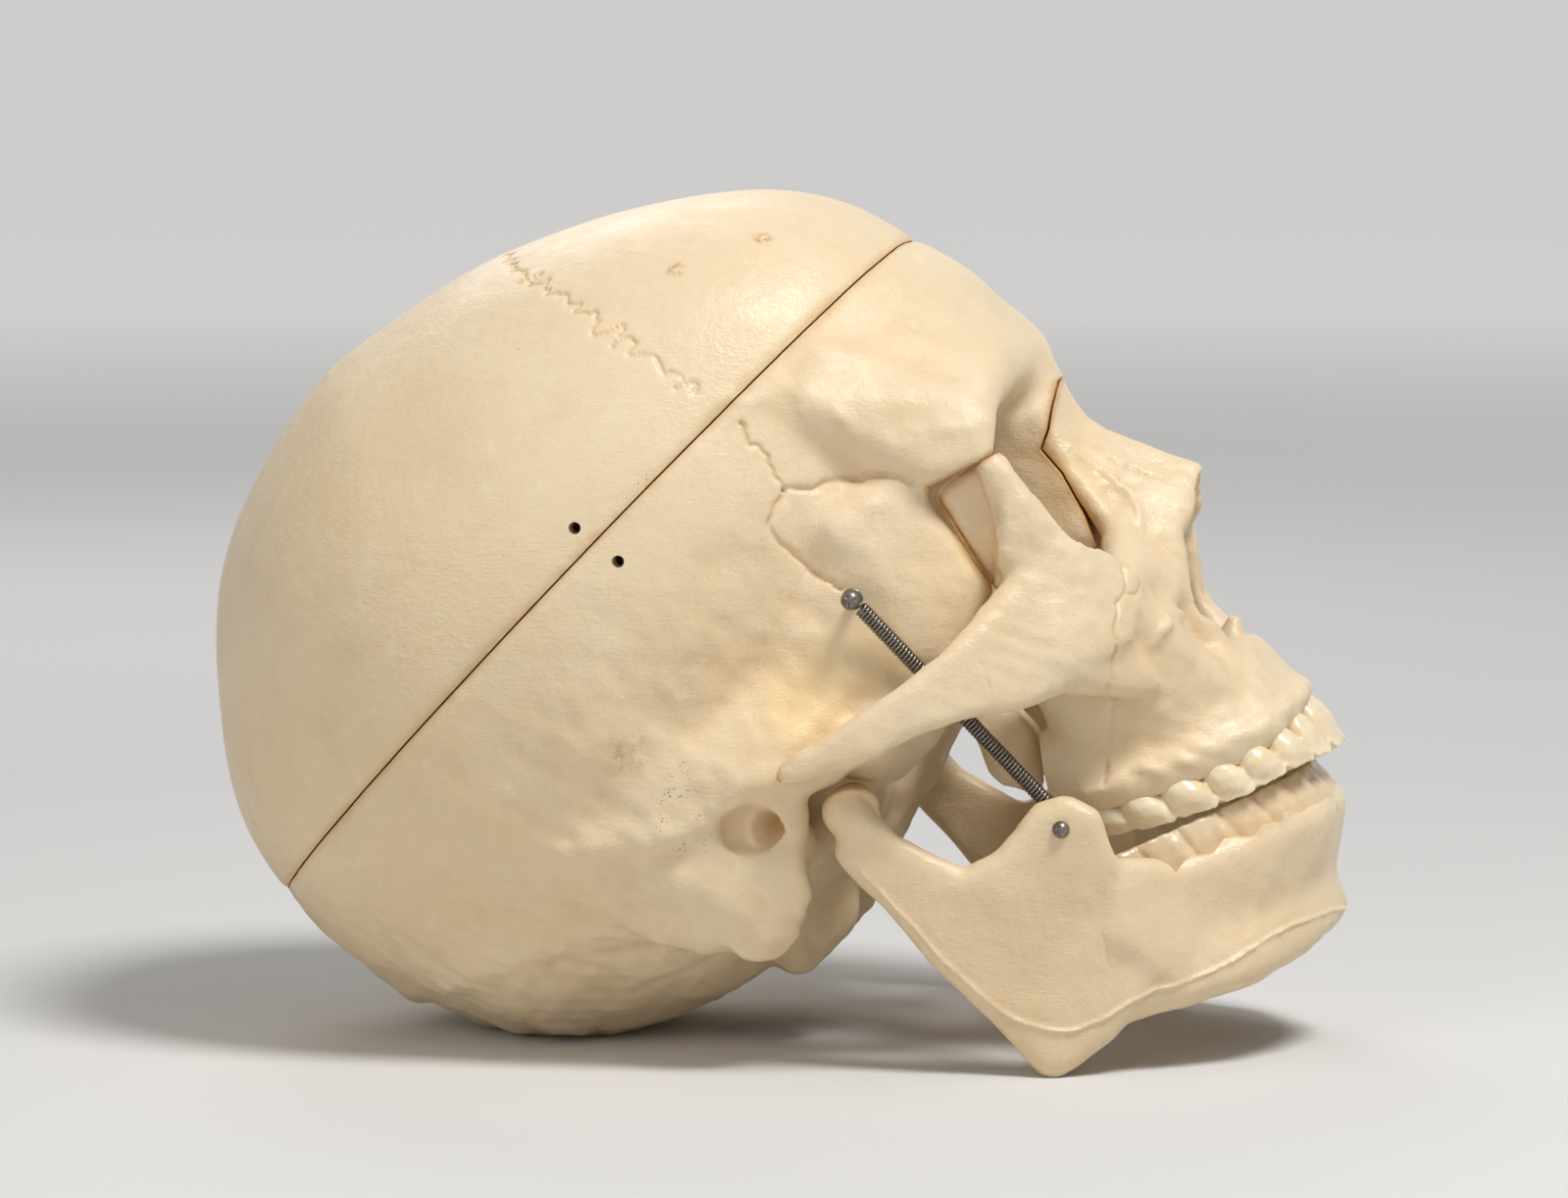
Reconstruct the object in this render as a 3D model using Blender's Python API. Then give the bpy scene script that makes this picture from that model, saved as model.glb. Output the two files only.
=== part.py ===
"""Anatomical skull model with a lift-off cap and a sprung jaw.

The skull is drawn in its own frame, in millimetres: x forward, y to its left and z up, with the
origin between the ear canals. It then leans back, as it stands by itself on the back of the head
and on both angles of the jaw. A ball below is (x, out, z, radius), where out is the distance from
the mid-plane, so that one list serves the left and the right side.
"""

import math

import bmesh
import bpy
import numpy as np
from mathutils import Matrix, Vector

# Whole skull, in millimetres
MM = 0.001
LEAN = math.radians(40.0)
STAND_X = 4.48
STAND_Z = 47.31
FIT = 0.3
JOINT_GAP = 0.8
SAW_GAP = 0.4
WALL = 5.0
RIGHT = -1
LEFT = 1

# Mesh density
BONE_GRAIN = 1.9
TOOTH_GRAIN = 0.8
CRANIUM_TRIANGLES = 2300
FACE_TRIANGLES = 1750
JAW_TRIANGLES = 1000
TEETH_TRIANGLES = 460

# Braincase
BRAIN_CENTRE = Vector((-6.0, 0.0, 50.0))
SQUARENESS = 2.25
WIDEST = 67.5
MIDLINE = (
    (86.4, 36.0), (88.8, 47.0), (88.0, 56.8), (83.6, 68.1), (77.8, 82.1), (66.4, 94.5),
    (45.0, 107.2), (18.0, 116.9), (-5.0, 119.8), (-22.0, 119.8), (-45.0, 112.6),
    (-61.6, 102.0), (-75.2, 86.4), (-86.6, 66.5), (-89.8, 47.5), (-87.2, 25.9),
    (-82.2, 13.8), (-69.2, -5.4), (-50.0, -17.5), (-30.0, -22.5), (-4.0, -20.0),
    (22.0, -8.0), (46.0, 4.0), (68.0, 20.0),
)
BRAIN_FLOOR = (
    (84.0, 48.0), (60.0, 41.0), (44.0, 24.0), (30.0, 6.0), (8.0, -4.0), (-20.0, -14.0),
)
EXTRA_BREADTH = ((0, -6.5), (45, -1.5), (90, 0.5), (135, 1.5), (180, -0.5), (225, -3.5),
                 (270, -6.5), (315, -9.5))
TEMPLE_PINCH = 0.06

# Saw cut through the forehead and the back of the head
SAW_FRONT = (84.5, 68.1)
SAW_BACK = (-92.1, 47.5)
PEG_X = 25.0
PEG_RADIUS = 1.25
PEG_LENGTH = 9.0
LATCH_HOLE_RADIUS = 1.15
LATCH_HOLE_CAP = (9.9, 63.8)
LATCH_HOLE_BASE = (12.2, 54.0)

# Seams between the base and the face, as (x, z) in the mid-plane and at the sides
MEDIAL_SEAM = ((110.0, 29.5), (88.5, 29.0), (82.0, 23.0), (78.6, 21.0), (79.0, 15.0),
               (77.5, 6.0), (75.0, -1.5), (54.0, -3.0), (48.6, -16.0), (39.0, -32.0),
               (37.0, -70.0))
LATERAL_SEAM = ((110.0, 22.0), (77.1, 25.3), (62.6, 28.4), (60.0, 12.7), (59.4, 4.0),
                (54.0, -3.0), (48.6, -16.0), (39.0, -32.0), (37.0, -70.0))
SEAM_STEP = 30.0
FAR_OUT = 90.0
FAR_FRONT = 140.0
FAR_BELOW = -120.0

# Cheek arch, from the cheek to the ear: an upper and a lower ball at each section
ARCH_OUT = WIDEST - 3.5
ARCH = (
    ((61.5, 48.6, 2.6, 3.6), (59.6, 48.0, -13.6, 3.4)),
    ((54.0, 54.0, 2.0, 2.8), (51.6, 52.0, -12.0, 2.8)),
    ((46.0, ARCH_OUT - 6.0, 1.2, 2.5), (44.0, ARCH_OUT - 7.0, -7.4, 2.5)),
    ((38.0, ARCH_OUT - 3.2, 1.4, 2.4), (36.4, ARCH_OUT - 3.6, -4.2, 2.3)),
    ((29.0, ARCH_OUT - 1.6, 2.2, 2.3), (27.5, ARCH_OUT - 1.6, -2.2, 2.3)),
    ((20.5, ARCH_OUT - 0.4, 3.4, 2.3), (19.2, ARCH_OUT - 0.4, 0.4, 2.3)),
    ((11.6, ARCH_OUT, 4.6, 2.3), (11.0, ARCH_OUT, 4.0, 2.3)),
)
ARCH_INNER = 46.6
ARCH_TOP = 14.0
ARCH_BOTTOM = -60.0
ARCH_LENGTH = (-30.0, 61.0)
CHEEK_REAR = ((62.0, 48.0, 2.4, 3.8), (60.0, 48.6, -12.0, 3.8), (60.6, 45.0, -15.6, 3.2))

# Jaw
HINGE = Vector((13.2, 0.0, -8.2))
CONDYLE_RADIUS = 4.6
FOSSA_GAP = 0.7
CONDYLE_OUTER = WIDEST - 10.5
CONDYLE_INNER = CONDYLE_OUTER - 14.0

# Springs and screws
TEMPLE = (40.0, 21.4)
CORONOID = (41.7, -35.7)
TEMPLE_BONE = WIDEST - 11.9
EYE_ROOM = 4.0
TEMPLE_HEAD_REST = TEMPLE_BONE + EYE_ROOM
CORONOID_BONE = CONDYLE_OUTER - 5.8
CORONOID_TIP = CORONOID_BONE - 11.2
SCREW_RADIUS = 1.0
HEAD_RADIUS = 1.85
HEAD_HEIGHT = 1.7
SCREW_DEPTH = 6.5
CROSS_WIDTH = 0.55
CROSS_DEPTH = 0.9
SPRING_RADIUS = 1.5
WIRE_RADIUS = 0.36
SPRING_TURNS = 28
POINTS_PER_TURN = 8
SPRING_TOP_OUT = TEMPLE_BONE + EYE_ROOM / 2
SPRING_LOW_OUT = CORONOID_TIP + 2.0
DRILL_IN = WIDEST - 11.5
DRILL_OUT = WIDEST + 12.5
SPRING_TOP_TAIL = 3.4
SPRING_LOW_TAIL = 5.6

# Teeth, from the middle to the back: x, out, gum z, biting z, width and depth
UPPER_TEETH = (
    (84.3, 4.2, -48.6, -58.6, 8.2, 6.0),
    (82.2, 11.6, -48.9, -58.2, 7.0, 5.6),
    (78.6, 17.8, -49.2, -56.8, 7.2, 7.0),
    (73.4, 22.2, -48.2, -55.4, 7.2, 8.0),
    (67.2, 25.0, -46.2, -53.9, 7.2, 8.2),
    (60.2, 26.8, -43.6, -51.6, 8.2, 9.2),
    (52.8, 27.6, -40.8, -48.6, 8.0, 9.2),
    (46.6, 27.4, -38.2, -44.6, 6.8, 8.4),
)
LOWER_TEETH = (
    (77.4, 2.8, -64.0, -57.6, 5.8, 4.6),
    (76.6, 8.4, -64.0, -57.6, 5.8, 4.8),
    (74.2, 13.8, -63.6, -57.6, 6.6, 5.8),
    (70.4, 18.6, -62.4, -56.8, 7.2, 6.8),
    (64.8, 22.6, -60.4, -55.2, 7.2, 7.2),
    (57.8, 26.0, -58.0, -52.9, 8.4, 8.2),
    (50.0, 29.2, -55.2, -50.4, 8.4, 8.2),
    (43.2, 32.0, -52.2, -47.4, 7.2, 7.6),
)
GUM_REACH = 38.5
RAIL_WIDTH = 3.0
RAIL_HEIGHT = 2.2


def clear_scene():
    """Remove every object of the open scene."""
    for item in list(bpy.data.objects):
        bpy.data.objects.remove(item, do_unlink=True)


def smoothstep(t):
    """Ease from 0 to 1."""
    t = np.clip(t, 0.0, 1.0)
    return t * t * (3.0 - 2.0 * t)


def curve_through(points, steps, closed):
    """A smooth run of points through the given ones, as rows of a numpy array."""
    rows = np.array(points, dtype=float)
    count = len(rows)
    spans = count if closed else count - 1
    out = []
    for i in range(spans):
        before = rows[(i - 1) % count] if closed or i > 0 else rows[0]
        start = rows[i]
        end = rows[(i + 1) % count]
        after = rows[(i + 2) % count] if closed or i + 2 < count else rows[-1]
        for k in range(steps):
            t = k / steps
            out.append(0.5 * (2 * start + (end - before) * t
                              + (2 * before - 5 * start + 4 * end - after) * t * t
                              + (3 * start - before - 3 * end + after) * t ** 3))
    if not closed:
        out.append(rows[-1])
    return np.array(out)


def reach_by_angle(outline):
    """Angles and distances of an outline seen from the brain's centre."""
    dense = curve_through(outline, 8, True)
    dx = dense[:, 0] - BRAIN_CENTRE.x
    dz = dense[:, 1] - BRAIN_CENTRE.z
    angle = np.arctan2(dz, dx)
    order = np.argsort(angle)
    return angle[order], np.hypot(dx, dz)[order]


def braincase(directions, outline, wall):
    """Points of the braincase along each direction, wall deep inside its outer face."""
    angles, reaches = reach_by_angle(outline)
    rho = np.hypot(directions[:, 0], directions[:, 2])
    theta = np.arctan2(directions[:, 2], directions[:, 0])
    reach = np.interp(theta, angles, reaches, period=2 * math.pi) - wall
    keys = curve_through(EXTRA_BREADTH, 6, True)
    span = np.linspace(0.0, 2 * math.pi, len(keys), endpoint=False)
    extra = np.interp(theta % (2 * math.pi), span, keys[:, 1], period=2 * math.pi)
    half = WIDEST + extra * smoothstep(rho) - wall
    r = ((rho / reach) ** SQUARENESS
         + (np.abs(directions[:, 1]) / half) ** SQUARENESS) ** (-1.0 / SQUARENESS)
    points = directions * r[:, None] + np.array(BRAIN_CENTRE)
    pinch = smoothstep((points[:, 0] - 20.0) / 40.0) * smoothstep((68.0 - points[:, 2]) / 30.0)
    points[:, 1] *= 1.0 - TEMPLE_PINCH * pinch
    return points


def brain_cavity_outline():
    """The mid-plane outline of the cavity: the outer one with a higher floor."""
    kept = [p for p in MIDLINE if p[1] > 40.0 or (p[0] < -30.0 and p[1] > -20.0)]
    angle_of = {}
    for x, z in kept:
        angle_of[(x, z)] = math.atan2(z - BRAIN_CENTRE.z, x - BRAIN_CENTRE.x)
    for x, z in BRAIN_FLOOR:
        away = Vector((x - BRAIN_CENTRE.x, z - BRAIN_CENTRE.z))
        grown = away * ((away.length + WALL) / away.length)
        point = (grown.x + BRAIN_CENTRE.x, grown.y + BRAIN_CENTRE.z)
        angle_of[point] = math.atan2(grown.y, grown.x)
    return sorted(angle_of, key=angle_of.get)


def egg_mesh(subdivisions, outline, wall):
    """A closed mesh of the braincase."""
    bm = bmesh.new()
    bmesh.ops.create_icosphere(bm, subdivisions=subdivisions, radius=1.0)
    directions = np.array([v.co.normalized() for v in bm.verts])
    for vert, point in zip(bm.verts, braincase(directions, outline, wall)):
        vert.co = point
    return bm


def add_hull(bm, balls, side):
    """Add the convex hull of the balls on one side to bm."""
    ball_mesh = bmesh.new()
    bmesh.ops.create_icosphere(ball_mesh, subdivisions=2, radius=1.0)
    unit = [v.co.copy() for v in ball_mesh.verts]
    ball_mesh.free()
    verts = []
    for x, out, z, radius in balls:
        centre = Vector((x, out * side, z))
        for step in unit:
            verts.append(bm.verts.new(centre + step * radius))
    result = bmesh.ops.convex_hull(bm, input=verts, use_existing_faces=False)
    spare = [g for g in result["geom_interior"] + result["geom_unused"]
             if isinstance(g, bmesh.types.BMVert)]
    bmesh.ops.delete(bm, geom=list(set(spare)), context="VERTS")


def add_both(bm, *balls):
    """Add the hull of the balls on the right and on the left."""
    add_hull(bm, balls, RIGHT)
    add_hull(bm, balls, LEFT)


def add_middle(bm, *balls):
    """Add the hull of the balls together with their mirror images."""
    mirrored = [(x, -out, z, radius) for x, out, z, radius in balls if out]
    add_hull(bm, list(balls) + mirrored, LEFT)


def add_chain(bm, *sections):
    """Add hulls between each section, a tuple of balls, and the next, on both sides."""
    for first, second in zip(sections, sections[1:]):
        add_both(bm, *first, *second)


def object_of(bm, name="work"):
    """Turn a bmesh into a linked object with outward faces."""
    bmesh.ops.recalc_face_normals(bm, faces=bm.faces)
    if bm.calc_volume(signed=True) < 0:
        bmesh.ops.reverse_faces(bm, faces=bm.faces)
    mesh = bpy.data.meshes.new(name)
    bm.to_mesh(mesh)
    bm.free()
    obj = bpy.data.objects.new(name, mesh)
    bpy.context.scene.collection.objects.link(obj)
    return obj


def apply_modifiers(obj):
    """Replace an object's mesh by its evaluated one and drop the modifiers."""
    graph = bpy.context.evaluated_depsgraph_get()
    mesh = bpy.data.meshes.new_from_object(obj.evaluated_get(graph))
    obj.modifiers.clear()
    obj.data = mesh


def fuse(bm, grain, smoothing, triangles):
    """Union the closed shells in bm, round their creases and thin the mesh."""
    obj = object_of(bm)
    remesh = obj.modifiers.new("Union", "REMESH")
    remesh.mode = "VOXEL"
    remesh.voxel_size = grain
    smooth = obj.modifiers.new("Round", "SMOOTH")
    smooth.factor = 0.5
    smooth.iterations = smoothing
    apply_modifiers(obj)
    faces = sum(len(p.vertices) - 2 for p in obj.data.polygons)
    thin = obj.modifiers.new("Thin", "DECIMATE")
    thin.ratio = min(1.0, triangles / faces)
    thin.use_collapse_triangulate = True
    apply_modifiers(obj)
    return obj


def cut(obj, cutter, operation="DIFFERENCE"):
    """Apply one Boolean with the cutter, which is then removed."""
    boolean = obj.modifiers.new("Cut", "BOOLEAN")
    boolean.operation = operation
    boolean.object = cutter
    boolean.solver = "EXACT"
    apply_modifiers(obj)
    bpy.data.objects.remove(cutter, do_unlink=True)


def copy_of(obj):
    """A linked copy with its own mesh."""
    twin = obj.copy()
    twin.data = obj.data.copy()
    bpy.context.scene.collection.objects.link(twin)
    return twin


def box(x_range, y_range, z_range):
    """A box between the given limits."""
    bm = bmesh.new()
    bmesh.ops.create_cube(bm, size=1.0)
    for vert in bm.verts:
        vert.co.x = x_range[0] if vert.co.x < 0 else x_range[1]
        vert.co.y = y_range[0] if vert.co.y < 0 else y_range[1]
        vert.co.z = z_range[0] if vert.co.z < 0 else z_range[1]
    return object_of(bm)


def prism(outline, y_range):
    """A side-view outline pulled out from one y to another."""
    bm = bmesh.new()
    near = [bm.verts.new((x, y_range[0], z)) for x, z in outline]
    far = [bm.verts.new((x, y_range[1], z)) for x, z in outline]
    bm.faces.new(near)
    bm.faces.new(list(reversed(far)))
    for i in range(len(near)):
        j = (i + 1) % len(near)
        bm.faces.new((near[i], near[j], far[j], far[i]))
    return object_of(bm)


def rod(start, end, radius, sides):
    """A closed cylinder between two points."""
    axis = Vector(end) - Vector(start)
    bm = bmesh.new()
    bmesh.ops.create_cone(bm, cap_ends=True, segments=sides, radius1=radius, radius2=radius,
                          depth=axis.length)
    turn = axis.to_track_quat("Z", "Y").to_matrix().to_4x4()
    middle = (Vector(start) + Vector(end)) / 2
    bm.transform(Matrix.Translation(middle) @ turn)
    return object_of(bm)


def hull_object(*balls, side=0):
    """A hull of balls as an object: on one side, or across the middle when side is 0."""
    bm = bmesh.new()
    if side:
        add_hull(bm, balls, side)
    else:
        add_middle(bm, *balls)
    return object_of(bm)


def shifted(points, distance):
    """An open line of (x, z) moved sideways, to its right when distance is positive."""
    out = []
    for i, point in enumerate(points):
        before = Vector(points[max(i - 1, 0)])
        after = Vector(points[min(i + 1, len(points) - 1)])
        along = (after - before).normalized()
        normal = Vector((along.y, -along.x))
        out.append(tuple(Vector(point) + normal * distance))
    return out


def face_side(seam, distance):
    """The closed outline in front of and below a seam, moved towards the base by a distance."""
    line = shifted(seam, distance)
    return line + [(line[-1][0], FAR_BELOW), (FAR_FRONT, FAR_BELOW), (FAR_FRONT, line[0][1])]


def base_side(seam, distance):
    """The closed outline behind and above a seam, moved towards the face by a distance."""
    line = shifted(seam, -distance)
    return line + [(line[-1][0], FAR_BELOW), (-FAR_FRONT, FAR_BELOW), (-FAR_FRONT, FAR_FRONT),
                   (line[0][0], FAR_FRONT)]


def floor_cutter():
    """A block under the surface that the skull stands on, in the skull's frame."""
    bm = bmesh.new()
    bmesh.ops.create_cube(bm, size=1.0)
    bm.transform(skull_to_stand().inverted() @ Matrix.Translation((0, 0, -50))
                 @ Matrix.Diagonal((400, 400, 100, 1)))
    return object_of(bm)


def skull_to_stand():
    """From the skull's frame to the leaning pose, both in millimetres."""
    return Matrix.Translation((STAND_X, 0, STAND_Z)) @ Matrix.Rotation(-LEAN, 4, "Y")


def saw_frame():
    """Origin and slope of the saw cut."""
    dx = SAW_FRONT[0] - SAW_BACK[0]
    dz = SAW_FRONT[1] - SAW_BACK[1]
    slope = math.atan2(dz, dx)
    middle = Vector(((SAW_FRONT[0] + SAW_BACK[0]) / 2, 0, (SAW_FRONT[1] + SAW_BACK[1]) / 2))
    return middle, slope


def saw_normal():
    """The direction in which the cap lifts off."""
    slope = saw_frame()[1]
    return Vector((-math.sin(slope), 0, math.cos(slope)))


def half_space(above):
    """A block above or below the saw cut, half the gap away from it."""
    middle, slope = saw_frame()
    size = 300.0
    sign = 1 if above else -1
    bm = bmesh.new()
    bmesh.ops.create_cube(bm, size=size)
    lift = sign * (size / 2 - SAW_GAP / 2)
    bm.transform(Matrix.Translation(middle) @ Matrix.Rotation(-slope, 4, "Y")
                 @ Matrix.Translation((0, 0, lift)))
    return object_of(bm)


def peg_ends(side, spare):
    """Both ends of a locating peg across the saw cut, made longer by spare."""
    normal = saw_normal()
    middle = saw_frame()[0]
    level = middle.z + (PEG_X - middle.x) * math.tan(saw_frame()[1])
    out = braincase_out(PEG_X, level) - WALL / 2
    centre = Vector((PEG_X, side * out, level))
    reach = normal * (PEG_LENGTH / 2 + spare)
    return centre - reach, centre + reach


def braincase_out(x, z):
    """How far from the mid-plane the braincase's outer face lies at a side-view point."""
    low = 0.0
    high = 80.0
    target = Vector((x, 0, z)) - BRAIN_CENTRE
    for _ in range(40):
        guess = (low + high) / 2
        direction = Vector((target.x, guess, target.z)).normalized()
        point = braincase(np.array([direction]), MIDLINE, 0.0)[0]
        if math.hypot(point[0] - BRAIN_CENTRE.x, point[2] - BRAIN_CENTRE.z) > target.length:
            low = guess
        else:
            high = guess
    return float(point[1])


def orbit_cutters(obj):
    """Hollow out both eye sockets."""
    for side in (RIGHT, LEFT):
        cut(obj, hull_object((94, 21, 25, 7.5), (94, 37, 24, 8), (94, 37.5, 8, 8), (94, 25, 7, 7.5),
                             (72, 21, 25, 7.5), (72, 35.5, 24, 8), (72, 36, 8, 8),
                             (72, 24, 7, 7.5), (42, 15, 15, 4), side=side))


def build_cranium():
    """The braincase with its hollow, before it is sawn."""
    bm = egg_mesh(5, MIDLINE, 0.0)
    brow = ((83.6, 0, 36, 6.6), (83.4, 14, 38, 6.6), (82.0, 26, 38.5, 6.2), (79.0, 36, 37, 5.6),
            (75.5, 43, 33, 5.0), (73.2, 46.2, 29.5, 4.2))
    add_chain(bm, *[(ball,) for ball in brow])
    add_both(bm, (73.2, 46.2, 27.5, 4.0), (66.0, 47.4, 31, 4.2), (73.5, 43.0, 38, 4.8),
             (60, 44.5, 40, 5), (75.5, 43, 33, 5))
    add_middle(bm, (82.5, 8, 52, 5.5), (79.0, 21, 52, 5.5), (83.4, 14, 38, 6.6),
               (82.0, 26, 38.5, 6.2))
    add_both(bm, (79.0, 21, 52, 5.5), (72.5, 33.5, 52, 5.0), (82.0, 26, 38.5, 6.2),
             (79.0, 36, 37, 5.6))
    add_both(bm, (73.0, 42.6, 38, 4.8), (60, 44.5, 40, 5), (68.6, 40.0, 48, 4.8), (54, 48.5, 54, 4),
             (76.6, 34, 40, 5))
    add_both(bm, (68.6, 40.0, 48, 4.8), (54, 48.5, 54, 4), (61, 43.0, 60, 4), (76.6, 34, 40, 5),
             (73.4, 31, 50, 4.6))
    add_both(bm, (57.2, 45.4, 31, 4.0), (56.2, 42.6, 8, 4.0), (45, 48.6, 33, 6), (44, 45, 4, 5.5))
    add_both(bm, (52, 40, 8, 4.5), (36, 36, -2, 5.5), (20, 44, -1, 5.5), (20, 30, -4, 6))
    add_middle(bm, (84.0, 0, 33, 6.0), (79.0, 9, 27, 4.5), (66, 10, 28, 5))
    add_middle(bm, (73.5, 8, 19, 4.0), (73.5, 9, 3, 4.0), (44, 9, 22, 6), (44, 8, 2, 7))
    add_middle(bm, (46, 7, 4, 8), (24, 8, -4, 8))
    add_middle(bm, (24, 8, -4, 8), (2, 9, -15, 6.5))
    add_both(bm, (40, 14, -4, 5), (38, 15, -26, 2.4), (43, 16, -24, 2.2))
    add_both(bm, (40, 18, -6, 3.4), (35, 25, -23, 2.0), (44, 23, -18, 2.4), (39, 22, -28, 1.8))
    add_both(bm, (-7, 12, -22.5, 4.6), (-18, 17, -23.0, 4.6))
    ear = WIDEST - 13.5
    root = WIDEST - 9.0
    add_both(bm, (-19, ear - 3, 2, 9), (-1, ear - 1, 3, 8), (-7, ear - 2.5, -12, 6.5),
             (-12.5, ear - 3.5, -15.6, 5.4))
    add_both(bm, (-30, ear - 3.5, 10, 8), (-19, ear - 3, 2, 9), (-22, ear - 6, -8, 6))
    add_both(bm, (-4, ear - 10, -6, 7), (12, 20, -8, 6))
    add_chain(bm, ((-34, root - 5, 22, 6.5), (-30, root - 6, 14, 6.5)),
              ((-8, root - 1.5, 22, 5.5), (-8, root - 2.5, 9, 5.5)),
              ((7, root - 5, 18, 5), (6.5, root - 0.5, 6.6, 4.4)))
    add_both(bm, (5, root, 4.8, 3.4), (9, root - 0.1, 2.6, 2.6), (22, root - 2.5, 0, 3.2),
             (14, root - 8.5, 2, 5))
    add_both(bm, (22, root - 2.5, 0, 3.2), (24, root - 12.5, -2.2, 4.2), (34, root - 12.5, 2, 5))
    add_both(bm, (-3, ear - 1.5, -6, 4.5), (3, ear - 6, -8, 4.2))
    obj = fuse(bm, BONE_GRAIN, 7, CRANIUM_TRIANGLES)
    cut(obj, object_of(egg_mesh(3, brain_cavity_outline(), WALL)))
    orbit_cutters(obj)
    keep_behind(obj)
    for side in (RIGHT, LEFT):
        reach = CONDYLE_RADIUS + FOSSA_GAP
        cut(obj, hull_object((HINGE.x, CONDYLE_INNER, HINGE.z, reach),
                             (HINGE.x, CONDYLE_OUTER + 6, HINGE.z, reach),
                             (HINGE.x + 2, CONDYLE_OUTER, HINGE.z - 14, reach),
                             (HINGE.x + 2, CONDYLE_INNER, HINGE.z - 14, reach), side=side))
        cut(obj, hull_object((-1.5, ear + 5.5, -0.8, 3.8), (-1.0, ear + 9, -1.0, 4.6),
                             (-0.6, ear - 3, -2.0, 2.2), side=side))
        cut(obj, hull_object((-26, ear - 11, -10, 2.6), (-4, ear - 13, -19, 2.6),
                             (-14, ear - 14, -24, 3), side=side))
    foramen = bmesh.new()
    bmesh.ops.create_cone(foramen, cap_ends=True, segments=24, radius1=1, radius2=1, depth=60)
    foramen.transform(Matrix.Translation((-24, 0, -20)) @ Matrix.Diagonal((17, 14.5, 1, 1)))
    cut(obj, object_of(foramen))
    cut(obj, floor_cutter())
    return obj


def keep_behind(obj):
    """Cut the base free of the face's room, half a joint gap behind the seams."""
    gap = JOINT_GAP / 2
    cut(obj, prism(face_side(MEDIAL_SEAM, gap), (-SEAM_STEP, SEAM_STEP)))
    for side in (RIGHT, LEFT):
        reach = sorted((side * (SEAM_STEP - gap), side * FAR_OUT))
        cut(obj, prism(face_side(LATERAL_SEAM, gap), reach))
        cheek = [(x, out, z, radius + JOINT_GAP) for x, out, z, radius in CHEEK_REAR]
        cut(obj, hull_object(*cheek, side=side))
        for first, second in zip(ARCH, ARCH[1:]):
            spare = FIT if first in ARCH[-4:] else JOINT_GAP
            room = [(x, out, z, radius + spare) for x, out, z, radius in first + second]
            cut(obj, hull_object(*room, side=side))


def keep_front(obj):
    """Cut the face free of the base's room, half a joint gap in front of the seams."""
    gap = JOINT_GAP / 2
    reach = SEAM_STEP + gap
    cut(obj, prism(base_side(MEDIAL_SEAM, gap), (-reach, reach)))
    for side in (RIGHT, LEFT):
        behind = prism(base_side(LATERAL_SEAM, gap), sorted((side * SEAM_STEP, side * FAR_OUT)))
        beside = sorted((side * ARCH_INNER, side * (FAR_OUT + 5)))
        cut(behind, box(ARCH_LENGTH, beside, (ARCH_BOTTOM, ARCH_TOP)))
        cut(obj, behind)


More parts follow.
